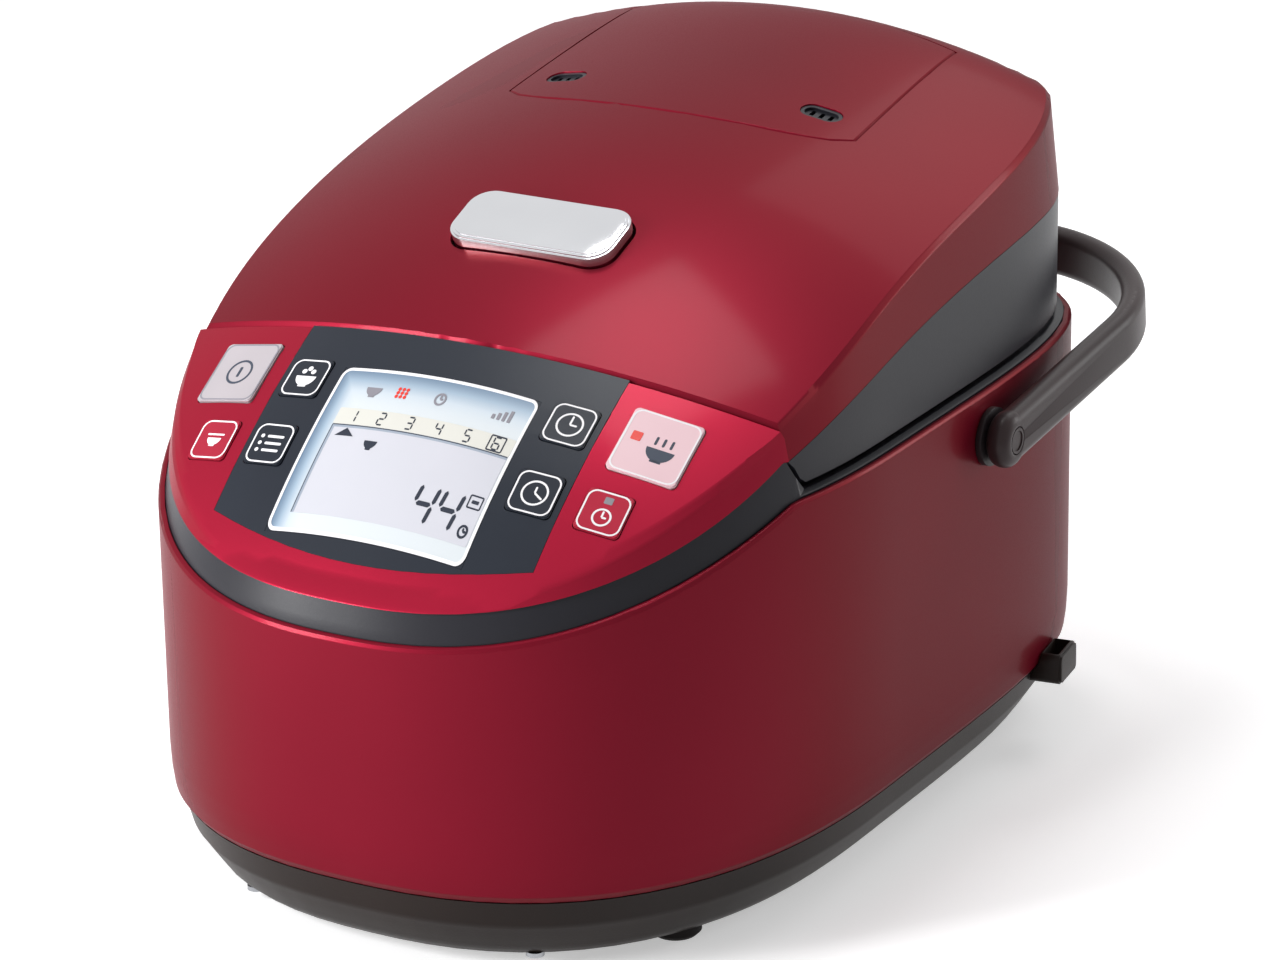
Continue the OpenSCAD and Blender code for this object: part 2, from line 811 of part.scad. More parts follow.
// Sprung probe that touches the underside of the pot
module pot_sensor() {
    color("#c3c3c6")
        round_part() {
            square_band(0, 10, pot_bottom_z - 2.6, pot_bottom_z - 0.3);
            square_band(0, sensor_r - 0.3, liner_floor - 2, liner_floor - 0.3);
            square_band(0, 10, liner_floor - 1, pot_bottom_z - 1);
            square_band(0, 3, floor_top + 4, liner_floor - 1);
        }
}

module square_band(r0, r1, z0, z1) {
    translate([r0, z0])
        square([r1 - r0, z1 - z0]);
}

module sensor_spring() {
    placed()
        color("#a9a9ad")
            translate([0, pot_y, 0])
                coil_spring(6, 0.8, floor_top + 0.4, liner_floor - 2.4, 6);
}

// Helical compression spring round the Z axis
module coil_spring(r, wire, z0, z1, turns) {
    sides = 5;
    steps = turns * 10;
    pitch = (z1 - z0 - 2 * wire) / turns;
    rings = [for (k = [0:steps])
        let (a = k * 36, mid = [r * cos(a), r * sin(a), z0 + wire + pitch * k / 10])
        [for (s = [0:sides - 1])
            let (b = 360 * s / sides)
            mid + wire * [cos(b) * cos(a), cos(b) * sin(a), sin(b)]]];
    capped_loft([for (ring = rings) [for (s = [0:sides - 1]) ring[sides - 1 - s]]]);
}

// ---- power stage, fan and cord reel ---------------------------------------------------------

module power_board() {
    placed()
        color("#3c6e4c")
            difference() {
                union() {
                    translate([-96, -122, floor_top + 9])
                        cube([104, 56, 1.6]);
                    for (q = [[-54, -110], [-60, -74], [-2, -112], [-4, -74]])
                        post(q[0], q[1], floor_top + 0.02, floor_top + 9.5, 3);
                    translate([-20, -88, floor_top + 10])
                        cube([22, 18, 24]);
                    post(-12, -104, floor_top + 10, floor_top + 36, 8);
                }
                translate([-96, -122, floor_top])
                    rotate([0, 0, 45])
                        cube([64, 64, 30], center = true);
            }
}

module heat_sink() {
    placed()
        color("#b9bbbf")
            translate([-62, -104, floor_top + 10.62]) {
                cube([38, 34, 4]);
                for (k = [0:6])
                    translate([k * 6, 0, 3])
                        cube([2, 34, 22]);
            }
}

module fan_housing() {
    placed()
        color("#2b2b2e")
            translate([fan_pos[0], fan_pos[1], floor_top + 0.02])
                difference() {
                    union() {
                        cylinder(h = fan_h, r = fan_r + 2.2);
                        for (a = [45:90:315])
                            rotate([0, 0, a])
                                post(fan_r + 3, 0, 0, 3, 4);
                    }
                    post(0, 0, 2.4, fan_h + 1, fan_r);
                    difference() {
                        post(0, 0, -1, 5, fan_r - 3);
                        post(0, 0, -1, 5, 10);
                        for (a = [0:60:120])
                            rotate([0, 0, a])
                                cube([2 * fan_r, 3, 20], center = true);
                    }
                    post(0, 0, 1, 8, 2.06);
                }
}

module fan_rotor() {
    placed()
        color("#3f3f44")
            translate([fan_pos[0], fan_pos[1], floor_top + 0.02]) {
                post(0, 0, 1.4, 6, 2);
                post(0, 0, 3, fan_h - 1.5, 11);
                for (a = [0:45:315])
                    rotate([0, 0, a])
                        translate([9, -3, 4])
                            rotate([-50, 0, 0])
                                cube([fan_r - 10.5, 1.2, 12]);
            }
}

module cord_reel_case() {
    placed()
        color("#3a3a3e")
            translate(reel_pos)
                rotate([-90, 0, 0])
                    difference() {
                        union() {
                            cylinder(h = reel_t, r = reel_r);
                            translate([-reel_foot_w / 2, 0, 0])
                                cube([reel_foot_w, reel_pos[2] - floor_top - 0.02, reel_t - 10]);
                        }
                        post(0, 0, 2, reel_t - 2, reel_r - 2);
                        post(0, 0, 1, reel_t - 1, 4.06);
                        translate([4 - reel_foot_w / 2, reel_r - 20, 6])
                            cube([reel_foot_w - 8, 40, reel_t - 14]);
                    }
}

module cord_reel_drum() {
    placed()
        color("#55555a")
            translate(reel_pos)
                rotate([-90, 0, 0]) {
                    post(0, 0, 1.3, reel_t - 1.3, 4);
                    post(0, 0, 3, reel_t - 3, 16);
                    post(0, 0, 3, 4.6, reel_r - 5);
                    post(0, 0, reel_t - 4.6, reel_t - 3, reel_r - 5);
                }
}

// Collar in the rear wall that the mains plug is pulled out of
module cord_outlet() {
    y1 = rear_depth + 0.9;
    placed()
        color("#2d2225")
            translate([reel_pos[0], 0, outlet_z])
                difference() {
                    union() {
                        translate([-outlet_w / 2, rear_depth - 9, -outlet_h / 2])
                            cube([outlet_w, 9.5, outlet_h]);
                        translate([-outlet_w / 2 - 2, rear_depth + 0.2, -outlet_h / 2 - 2])
                            cube([outlet_w + 4, y1 - rear_depth - 0.2, outlet_h + 4]);
                    }
                    translate([-outlet_w / 2 + 5, rear_depth - 10, -outlet_h / 2 + 4])
                        cube([outlet_w - 10, 20, outlet_h - 8]);
                }
}

// ---- lid hinge, latch keeper, bail ----------------------------------------------------------

module hinge_pin() {
    placed()
        color("#c3c3c6")
            axle(-boss_x[1] + 0.5, boss_x[1] - 0.5, hinge_y, hinge_z, hinge_pin_r);
}

// Two close-wound torsion springs on the pin, between the knuckles
module hinge_springs() {
    wire = 1.8;
    r0 = hinge_pin_r + 0.1;
    turns = 9;
    placed()
        color("#a9a9ad")
            for (x0 = [-wire * turns - 1.5, 1.5])
                translate([x0, hinge_y, hinge_z])
                    rotate([0, 90, 0])
                        rotate_extrude()
                            polygon(concat(
                                [[r0, 0]],
                                [for (k = [0:turns - 1]) each
                                    [[r0 + wire * 0.55, wire * k], [r0 + wire, wire * (k + 0.5)]]],
                                [[r0 + wire * 0.55, wire * turns], [r0, wire * turns]]
                            ));
}

module latch_keeper() {
    placed()
        color("#b9bbbf")
            difference() {
                translate([-latch_w, slot_y[1] - 2, deck_top - deck_t - 1.6])
                    cube([2 * latch_w, 5, 1.58]);
                translate([-latch_w / 2 - 1.5, slot_y[0], deck_top - 10])
                    cube([latch_w + 3, slot_y[1] - slot_y[0], 10]);
                post(0, pot_y, deck_top - 10, deck_top, liner_r + liner_wall + 0.3);
            }
}

// Flanged bush let into each side wall; its stud carries the bail
module pivot_bushes() {
    placed()
        color("#2b2326")
            for (side = [-1, 1])
                scale([side, 1, 1]) {
                    axle(half_width - 8, half_width + 1, bail_y, bail_z, bush_r - 2);
                    axle(half_width + 0.1, arm_x - 0.3, bail_y, bail_z, bush_r);
                    axle(arm_x - 1, arm_x + bail_t - stud_set, bail_y, bail_z, stud_r);
                }
}

module bail_section() {
    translate([-bail_t / 2, 0])
        rounded(bail_t, bail_h, bail_round, $fn = 32);
}

// Bail drawn flat with its pivots on the X axis, then tipped up to its resting slope
module handle_bail() {
    outer = arm_x + bail_t;
    placed()
        color("#33282b")
            translate([0, bail_y, bail_z])
                rotate([bail_tilt, 0, 0])
                    difference() {
                        union() {
                            for (side = [-1, 1])
                                scale([side, 1, 1]) {
                                    rotate([-90, 0, 0])
                                        linear_extrude(bail_reach - bail_corner)
                                            translate([outer, 0])
                                                bail_section();
                                    translate([outer - bail_corner, bail_reach - bail_corner, 0])
                                        rotate_extrude(angle = 90, $fn = 96)
                                            translate([bail_corner, 0])
                                                bail_section();
                                    translate([arm_x + bail_t / 2, 0, 0])
                                        bail_end();
                                }
                            translate([-(outer - bail_corner), bail_reach, 0])
                                rotate([90, 0, 90])
                                    linear_extrude(2 * (outer - bail_corner))
                                        bail_section();
                        }
                        axle(-outer - 1, outer + 1, 0, 0, stud_r + running);
                        grip_groove(outer);
                    }
}

// The bail's section turned about its pivot
module bail_end() {
    rotate([0, 90, 0])
        rotate_extrude()
            intersection() {
                rounded(bail_h + 1.6, bail_t, bail_round, $fn = 32);
                translate([0, -bail_t])
                    square([bail_h, 2 * bail_t]);
            }
}

// Hollow along the inside of the crossbar
module grip_groove(outer) {
    w = outer - bail_corner - 4;
    translate([-w, bail_reach - bail_t - 1, -bail_h / 2 + 3])
        cube([2 * w, 4.5, bail_h - 6]);
}

// Dished plug over the end of each stud
module bail_caps() {
    end = arm_x + bail_t;
    placed()
        color("#33282b")
            for (side = [-1, 1])
                scale([side, 1, 1])
                    difference() {
                        axle(end - stud_set + 0.02, end - 0.1, bail_y, bail_z, stud_r - fit_gap);
                        axle(end - 0.5, end + 1, bail_y, bail_z, stud_r - fit_gap - 1);
                    }
}

// Pockets at the foot of the side walls that take the paddle holder
module paddle_sockets() {
    a = atan((outline_x(socket_y - 5) - outline_x(socket_y + 5)) / 10);
    placed()
        color("#33211f")
            for (side = [-1, 1])
                scale([side, 1, 1])
                    difference() {
                        translate([outline_x(socket_y), socket_y, socket_z])
                            rotate([0, 0, a])
                                socket_body();
                        capped_loft([
                            for (q = pan_side) plan_ring(q[0] - fit_gap, level(foot_h + q[1])),
                            for (q = shell_foot) plan_ring(q[0] - 0.2 - fit_gap, level(shell_bottom_z + q[1]))
                        ]);
                    }
}

// Half width of the outline at y, behind the widest section
function outline_x(y) = half_width * pow(1 - pow(y / rear_depth, rear_power), 1 / rear_power);

module socket_body() {
    difference() {
        rotate([90, 0, 90]) {
            slab(socket_w, socket_h, 2.4, -12, socket_out - 0.9);
            slab(socket_w - 1.4, socket_h - 1.4, 1.7, socket_out - 1, socket_out);
        }
        translate([socket_back, -socket_w / 2 + 2.2, -socket_h / 2 + 2])
            cube([socket_out - socket_wall - socket_back, socket_w - 4.4, socket_h]);
    }
}

// ---- lid ------------------------------------------------------------------------------------

// Lower edge of the red cover: along the skirt at the sides, a short fold along the seam
function cover_low(i, j, down = 0) =
    let (c = lid_contour(i, j), q = c[side_steps])
    let (more = crown(q[0], q[1]) - side_line(q[1]) - fold_h)
    [for (k = [0:len(c) - 1])
        let (x = c[k][0], y = c[k][1])
        [x, y, (k < side_steps ? side_line(y) : crown(x, y) - fold_h - more * pow(x / q[0], 4)) - down]];
function skirt_low(i, j) = [for (q = lid_contour(i, j)) [q[0], q[1], skirt_bottom(q[0], q[1])]];

module lid_cover() {
    placed()
        color("#8d1a2b")
            difference() {
                union() {
                    cover_shell();
                    for (q = lid_screw_pos)
                        screw_tower(q);
                }
                for (q = lid_screw_pos)
                    post(q[0], q[1], inner_cover_z, inner_cover_z + 14, screw_r + 0.1);
                translate([0, 0, 180])
                    linear_extrude(100)
                        cap_outline(0);
                on_slope(0, button_y)
                    slab(button_w + 1.6, button_l + 1.6, 9.5, -12, 12);
            }
}

module cover_shell() {
    inner = lid_contour(side_inset + cover_wall + 4.7, seam_gap / 2 + cover_wall + 1.6);
    crease = lid_contour(crease_inset, seam_gap / 2 + 0.9);
    capped_loft([
        for (k = [0.1, 0.32, 0.52, 0.67, 0.76, 0.83, 0.88, 0.94, 1]) on_crown(shrink(inner, k, lid_mid), cover_wall),
        cover_low(side_inset + cover_wall, seam_gap / 2 + cover_wall),
        cover_low(side_inset, seam_gap / 2),
        on_crown(lid_contour(crease_inset - 1.6, seam_gap / 2), 2),
        for (k = [1, 0.96, 0.9, 0.84, 0.76, 0.66, 0.48, 0.28, 0.1]) on_crown(shrink(crease, k, lid_mid), 0)
    ]);
}

// Boss under the cover for a screw from below; its top runs into the crown
module screw_tower(q) {
    intersection() {
        post(q[0], q[1], inner_cover_z + inner_cover_t + fit_gap, 300, 4);
        crown_patch(
            q[0] - 6, q[0] + 6, function (x) q[1] - 6, function (x) q[1] + 6,
            cover_wall - 0.4, cover_wall + 80, 2, 2
        );
    }
}

// Wall between the red cover and the seam, with a lip that stands up inside the cover
module lid_skirt() {
    lip = side_inset + cover_wall + fit_gap;
    j = seam_gap / 2;
    placed()
        color("#5a5a62")
            hoop_loft([
                skirt_low(side_inset + 0.2 + trim_wall, j + 0.2 + trim_wall),
                skirt_low(side_inset + 0.2, j + 0.2),
                cover_low(side_inset + 0.1, j + 0.1, fit_gap),
                cover_low(lip, j + cover_wall + fit_gap, fit_gap),
                cover_low(lip + 1.3, j + cover_wall + fit_gap + 0.9, -1.4),
                cover_low(lip + 2.7, j + cover_wall + fit_gap + 2.5, -1.4),
                cover_low(lip + 1.8, j + cover_wall + fit_gap + 1.8, fit_gap + 3)
            ]);
}

module lid_inner_cover() {
    z0 = inner_cover_z;
    placed()
        color("#c8c4bd")
            difference() {
                union() {
                    translate([0, 0, z0])
                        linear_extrude(inner_cover_t)
                            intersection() {
                                polygon(lid_contour(side_inset + trim_wall + 2.8, seam_gap / 2 + trim_wall + 1));
                                translate([-half_width, seam_mid_y - 20])
                                    square([2 * half_width, hinge_y - boss_r - 1.2 - seam_mid_y + 20]);
                            }
                    for (side = [-1, 1]) {
                        knuckle(side);
                        translate([side * (latch_w / 2 + 3) - 1.5, latch_pivot[0] - 4, z0 + 1])
                            cube([3, 8, latch_pivot[1] - z0 + 2]);
                    }
                    for (a = [45:90:315])
                        post(70 * cos(a), pot_y + 70 * sin(a), z0 - 2.98, z0 + 1, 4);
                }
                translate([-latch_w / 2 - 1.4, slot_y[0] - 0.5, z0 - 1])
                    cube([latch_w + 2.8, latch_pivot[0] - slot_y[0] + 5.5, 8]);
                axle(-20, 20, latch_pivot[0], latch_pivot[1], screw_r + 0.05);
                post(duct_pos[0], duct_pos[1], z0 - 1, z0 + 9, duct_r + fit_gap);
                post(valve_pos[0], valve_pos[1], z0 - 1, z0 + 9, 15 + fit_gap);
                for (q = lid_screw_pos)
                    post(q[0], q[1], z0 - 1, z0 + 9, screw_r + 0.1);
                axle(-60, 60, hinge_y, hinge_z, hinge_pin_r + running);
            }
}

module knuckle(side) {
    x0 = side > 0 ? knuckle_x[0] : -knuckle_x[1];
    w = knuckle_x[1] - knuckle_x[0];
    axle(x0, x0 + w, hinge_y, hinge_z, boss_r);
    translate([x0, hinge_y - 22, inner_cover_z])
        cube([w, 22, inner_cover_t]);
}

module lid_screws() {
    placed()
        color("#b9bbbf")
            for (q = lid_screw_pos) {
                post(q[0], q[1], inner_cover_z - 1.4, inner_cover_z - 0.01, 3);
                post(q[0], q[1], inner_cover_z - 1, inner_cover_z + 9, screw_r);
            }
}

module inner_lid_plate() {
    z0 = rim_z + 0.6;
    color("#d4d4d6")
        difference() {
            round_part() {
                square_band(0, pot_r - 8, z0, z0 + 1.4);
                square_band(pot_r - 10, pot_r - 4, z0, z0 + 1.6);
            }
            placed() {
                post(duct_pos[0], duct_pos[1], z0 - 1, z0 + 3, duct_r - 3);
                post(valve_pos[0], valve_pos[1], z0 - 1, z0 + 3, 3);
            }
        }
}

// Silicone ring that seals the plate to the rim of the pot
module lid_gasket() {
    color("#6e6e72")
        round_part() {
            square_band(pot_r - 3.9, pot_r + 2, inner_cover_z - 3.6, inner_cover_z - 0.1);
            square_band(pot_r + 1, pot_r + 5, rim_z + 0.9, inner_cover_z - 2.4);
        }
}

module valve_housing() {
    placed()
        color("#8b8b90")
            translate([valve_pos[0], valve_pos[1], 0])
                difference() {
                    union() {
                        post(0, 0, inner_cover_z - 2.9, inner_cover_z + 24, 15);
                        post(0, 0, inner_cover_z + inner_cover_t + 0.02, inner_cover_z + 6, 20);
                    }
                    post(0, 0, inner_cover_z + 2, inner_cover_z + 21, 9);
                    post(0, 0, inner_cover_z - 4, inner_cover_z + 3, 3);
                    translate([0, 0, inner_cover_z + 12])
                        rotate([-90, 0, 0])
                            cylinder(h = 30, r = 4);
                }
}

module pressure_ball() {
    placed()
        color("#c9c9cc")
            translate([valve_pos[0], valve_pos[1], inner_cover_z + 2 + 4.4])
                sphere(r = 5);
}

module steam_duct() {
    rim = [for (a = [0:15:345]) crown(duct_r * cos(a), duct_pos[1] + duct_r * sin(a))];
    top = min(rim) - tray_drop - tray_t - 4 * fit_gap;
    placed()
        color("#8b8b90")
            translate([duct_pos[0], duct_pos[1], 0])
                difference() {
                    union() {
                        post(0, 0, inner_cover_z - 2.9, top, duct_r);
                        post(0, 0, inner_cover_z + inner_cover_t + 0.02, inner_cover_z + 6, duct_r + 4);
                    }
                    post(0, 0, inner_cover_z - 4, top + 1, duct_r - 2);
                }
}

// Outline of the lift-off cap in plan, shrunk by in
module cap_outline(in) {
    xs = [for (k = [0:20]) (cap_half - in) * (k / 10 - 1)];
    polygon(concat(
        [for (x = xs) [x, cap_front(x) + in]],
        [for (k = [0:10]) let (x = (cap_half - 3 - in) * (1 - k / 5)) [x, cap_rear_y - in - 0.0012 * x * x]]
    ));
}
function cap_front(x) = cap_front_y + x * x / (2 * cap_front_r) + 6 * pow(abs(x) / cap_half, 10);
function cap_ring(in, drop, s = 1) =
    let (mid = [0, (cap_front_y + cap_rear_y) / 2 + 3], w = cap_half - in)
    let (pts = concat(
        [for (k = [0:19]) let (x = w * (k / 10 - 1)) [x, cap_front(x) + in]],
        [for (k = [0:5]) let (y0 = cap_front(w) + in, y1 = cap_rear_y - in - 0.0012 * (w - 3) * (w - 3))
            [w - 3 * k / 6, y0 + (y1 - y0) * k / 6]],
        [for (k = [0:19]) let (x = (w - 3) * (1 - k / 10)) [x, cap_rear_y - in - 0.0012 * x * x]],
        [for (k = [0:5]) let (y0 = cap_front(w) + in, y1 = cap_rear_y - in - 0.0012 * (w - 3) * (w - 3))
            [3 - w - 3 * k / 6, y1 + (y0 - y1) * k / 6]]
    ))
    on_crown(shrink(pts, s, mid), drop);

module cap_tray() {
    placed()
        color("#4a4a50")
            difference() {
                capped_loft([
                    for (k = cap_steps) cap_ring(-4, tray_drop + tray_t, k),
                    cap_ring(-4, tray_drop + tray_t),
                    cap_ring(-4, tray_drop - 0.4),
                    cap_ring(-1, tray_drop - 0.4),
                    cap_ring(-1, tray_drop),
                    for (k = [4:-1:0]) cap_ring(-1, tray_drop, cap_steps[k])
                ]);
                post(duct_pos[0], duct_pos[1], 180, 280, duct_r - 2);
            }
}

module steam_cap() {
    placed()
        color("#8d1a2b")
            difference() {
                capped_loft([
                    for (k = cap_steps) cap_ring(fit_gap + 2.4, cap_wall, k),
                    cap_ring(fit_gap + 2.4, cap_wall),
                    cap_ring(fit_gap + 2.2, cap_skirt),
                    cap_ring(fit_gap, cap_skirt),
                    cap_ring(fit_gap, 1),
                    cap_ring(fit_gap + 0.8, 0),
                    for (k = [4:-1:0]) cap_ring(fit_gap + 0.8, 0, cap_steps[k])
                ]);
                for (side = [-1, 1])
                    on_slope(side * vent_pos[0], vent_pos[1])
                        slab(vent_w, vent_l, vent_l / 2 - 0.01, -8, 8);
            }
}

// Grilles set in the two openings of the cap
module steam_vents() {
    placed()
        color("#2f2f33")
            for (side = [-1, 1])
                on_slope(side * vent_pos[0], vent_pos[1])
                    difference() {
                        union() {
                            slab(vent_w - 0.4, vent_l - 0.4, vent_l / 2 - 0.21, -3.6, -0.6);
                            slab(vent_w + 2, vent_l + 2, vent_l / 2 + 0.9, -4.4, -3.2);
                        }
                        slab(vent_w - 3, vent_l - 3.5, 2.9, -1.6, 2);
                        for (k = [-1:1])
                            slab_at(3.6 * k, 1.6, 5);
                    }
}

module slab_at(x, w, l) {
    translate([x, 0, 0])
        slab(w, l, w / 2 - 0.01, -8, 2);
}

// ---- opening button and latch ---------------------------------------------------------------

module button_well() {
    placed()
        color("#3a1218")
            on_slope(0, button_y)
                difference() {
                    slab(button_w + 6, button_l + 6, 11, -well_depth - 2, -cover_wall - 2.6);
                    slab(button_w + 1.2, button_l + 1.2, 9.3, -well_depth, 0);
                    post(0, 0, -well_depth - 4, 0, 3.4);
                }
}

module open_button() {
    placed()
        color("#c9ccd0")
            on_slope(0, button_y) {
                slab(button_w, button_l, 9, -5.5, button_proud - 1.2);
                slab(button_w - 1.4, button_l - 1.4, 8.3, button_proud - 1.3, button_proud - 0.5);
                slab(button_w - 3.4, button_l - 3.4, 7.3, button_proud - 0.6, button_proud);
                post(0, 0, -19, -5, 3);
                translate([0, 0, -20])
                    cylinder(h = 1.02, r1 = 1.8, r2 = 3);
            }
}

module button_spring() {
    placed()
        color("#a9a9ad")
            on_slope(0, button_y)
                coil_spring(5.4, 0.7, -well_depth + 0.2, -5.7, 4);
}

// Bell crank: the arm under the button's stem swings the hook clear of the keeper
module latch_hook() {
    n = [0, -sin(slope_y(0, button_y)), cos(slope_y(0, button_y))];
    pad = [button_y, crown(0, button_y)] - 20.4 * [n[1], n[2]];
    a = slope_y(0, button_y);
    tip_z = deck_top - deck_t - 3;
    hook_y = slot_y[1] - 4;
    hook_t = 2.6;
    placed()
        color("#8f8f94")
            difference() {
                union() {
                    side_cut(-latch_w / 2, latch_w / 2)
                        polygon([
                            [hook_y - hook_t, tip_z], [slot_y[1] - 0.4, tip_z], [slot_y[1] - 0.4, tip_z + 1.2],
                            [hook_y, tip_z + 2.9], [hook_y, latch_pivot[1] - 8], [latch_pivot[0] + 3, latch_pivot[1] - 4],
                            [latch_pivot[0] - 2, latch_pivot[1] + 4], [hook_y - hook_t, latch_pivot[1] - 6]
                        ]);
                    side_cut(-4, 4)
                        polygon([
                            [latch_pivot[0] + 1, latch_pivot[1] - 4], [pad[0] + 5 * cos(a), pad[1] + 5 * sin(a) - 3],
                            pad + 5 * [cos(a), sin(a)], pad - 5 * [cos(a), sin(a)],
                            [latch_pivot[0] - 3, latch_pivot[1] + 3]
                        ]);
                    axle(-latch_w / 2, latch_w / 2, latch_pivot[0], latch_pivot[1], 4);
                }
                axle(-20, 20, latch_pivot[0], latch_pivot[1], screw_r + running);
            }
}

module latch_pin() {
    placed()
        color("#c3c3c6")
            axle(-latch_w / 2 - 4.4, latch_w / 2 + 4.4, latch_pivot[0], latch_pivot[1], screw_r);
}

module lid_heater() {
    color("#c8a26a")
        round_part()
            square_band(40, 54, inner_cover_z - 1.2, inner_cover_z - 0.02);
}

body_shell();
base_pan();
rubber_feet();
base_screws();
shoulder_frame();
control_bezel();
display_panel();
display_window();
lcd_module();
control_board();
key_cancel();
key_small_batch();
key_rice();
key_menu();
key_hour();
key_minute();
key_start();
key_timer();
well_liner();
coil_carrier();
induction_coil();
ferrite_bars();
pot_sensor();
sensor_spring();
power_board();
heat_sink();
fan_housing();
fan_rotor();
cord_reel_case();
cord_reel_drum();
cord_outlet();
inner_pot();
hinge_pin();
hinge_springs();
latch_keeper();
pivot_bushes();
handle_bail();
bail_caps();
paddle_sockets();
lid_cover();
lid_skirt();
lid_inner_cover();
lid_screws();
inner_lid_plate();
lid_gasket();
valve_housing();
pressure_ball();
steam_duct();
cap_tray();
steam_cap();
steam_vents();
button_well();
open_button();
button_spring();
latch_hook();
latch_pin();
lid_heater();
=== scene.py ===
# %% [markdown]
# A rice cooker with a domed lid. Its shape comes from a imported CAD model, which is loaded first
# and never changed. Every later cell gives one of its parts a finish or adds a piece that rides on
# it.

# %% Load the frame
import json
import math

import bpy
from mathutils import Matrix, Vector

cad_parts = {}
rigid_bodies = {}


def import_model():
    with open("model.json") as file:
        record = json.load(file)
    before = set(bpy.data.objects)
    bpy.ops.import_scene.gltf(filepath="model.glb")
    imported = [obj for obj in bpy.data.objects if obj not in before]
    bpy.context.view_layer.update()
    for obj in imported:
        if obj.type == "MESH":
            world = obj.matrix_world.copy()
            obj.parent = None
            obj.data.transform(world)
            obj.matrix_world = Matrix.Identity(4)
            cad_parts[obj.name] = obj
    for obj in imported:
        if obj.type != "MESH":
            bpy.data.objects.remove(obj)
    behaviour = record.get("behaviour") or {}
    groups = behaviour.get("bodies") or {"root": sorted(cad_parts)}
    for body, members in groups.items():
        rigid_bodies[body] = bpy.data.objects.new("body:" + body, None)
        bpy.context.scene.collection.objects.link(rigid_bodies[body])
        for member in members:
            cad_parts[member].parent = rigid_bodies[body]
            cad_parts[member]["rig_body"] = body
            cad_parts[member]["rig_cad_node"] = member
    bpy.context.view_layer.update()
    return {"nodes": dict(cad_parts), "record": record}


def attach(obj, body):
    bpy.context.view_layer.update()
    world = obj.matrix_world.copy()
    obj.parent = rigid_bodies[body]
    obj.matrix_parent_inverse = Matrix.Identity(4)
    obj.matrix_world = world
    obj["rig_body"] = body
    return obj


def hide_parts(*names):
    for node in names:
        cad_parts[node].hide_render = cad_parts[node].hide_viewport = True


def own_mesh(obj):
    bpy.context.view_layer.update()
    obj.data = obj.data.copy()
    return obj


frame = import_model()
MM = 0.001

# %% [markdown]
# The lid, the bezel and the panel share one crowned surface, as on the real cooker, where the
# seams run over the dome without a step. Its middle line is a Bezier curve of seven steering
# heights, and it falls away to both sides like a big circle. A printed piece could be snapped
# to the mesh, but asking this formula for its height is exact and works at any fineness.
# Lengths are in millimetres, counted from the widest section of the plan.

# %% The crowned surface
FRONT, REAR = 159.5, 194.8
CROWN_STEERS = [121.9, 198.5, 200.2, 267.4, 222.4, 266.4, 251.8]
CROWN_TERMS = [1, 6, 15, 20, 15, 6, 1]
CROWN_SIDE_R = 300.0
# the bail's pivot, its reach and tilt at rest, its thickness and half its height, and the
# gap it needs to swing over the lid
BAIL_Y, BAIL_Z, BAIL_REACH, BAIL_TILT = 67.4, 137.3, 164.2, math.radians(6)
BAIL_THICK, BAIL_HALF_H, SWING_GAP, SOFTEN = 9, 9.4, 2, 3
BAIL_REAR = BAIL_Y + BAIL_REACH * math.cos(BAIL_TILT) + BAIL_HALF_H * math.sin(BAIL_TILT)
# the frame has its zero in the middle of the box, this much behind the widest section
SHIFT = (FRONT - BAIL_REAR) / 2


def crown(x, y):
    """Height in mm of the lid's surface. At the rear it stays under the bail's swing."""
    u = (y + FRONT) / (FRONT + REAR)
    steers = enumerate(zip(CROWN_STEERS, CROWN_TERMS))
    mid = sum(h * t * u**k * (1 - u) ** (6 - k) for k, (h, t) in steers)
    swing = BAIL_REACH - (BAIL_THICK + SWING_GAP)
    under_bail = BAIL_Z + math.sqrt(swing**2 - max(0.0, y - BAIL_Y) ** 2)
    mid = (mid + under_bail - math.sqrt((mid - under_bail) ** 2 + SOFTEN**2)) / 2
    return mid - x * x / (2 * CROWN_SIDE_R)


def slope(x, y):
    """How many mm the crown climbs per mm towards the rear."""
    return crown(x, y + 0.5) - crown(x, y - 0.5)


def crown_normal(x, y):
    """The direction in which the crown faces, as a vector of length one."""
    return Vector((x / CROWN_SIDE_R, -slope(x, y), 1)).normalized()


def on_crown(x, y, rise=0.0):
    """The point of the crown at x, y, lifted by rise mm along its normal, in metres."""
    return (Vector((x, y + SHIFT, crown(x, y))) + rise * crown_normal(x, y)) * MM


def crown_frame(x, y):
    """Matrix whose Z is the crown's normal at x, y and whose X stays level, in metres."""
    a = math.atan(slope(x, y))
    b = math.atan(-x / CROWN_SIDE_R * math.cos(a))
    place = Matrix.Translation(Vector((x, y + SHIFT, crown(x, y))) * MM)
    return place @ Matrix.Rotation(a, 4, "X") @ Matrix.Rotation(-b, 4, "Y")


print("crown at the middle", round(crown(0, 0), 1), "mm")

# %% [markdown]
# The camera stands a little above the panel and to its right, so that the lid's dome and the
# right wall both show. It stands far away and has a long lens, as is usual for products, which
# keeps the upright lines nearly parallel. The camera's three axes are built from its two angles and
# a small roll, because that is easier to read and to change than a rotation in numbers.

# %% Camera
CAMERA_AT = (0.87506, -1.45831 + SHIFT * MM, 0.74495)
AZIMUTH, ELEVATION, ROLL = (math.radians(a) for a in (30.244, 20.155, -0.906))
LENS_MM, SENSOR_MM = 144.8, 36

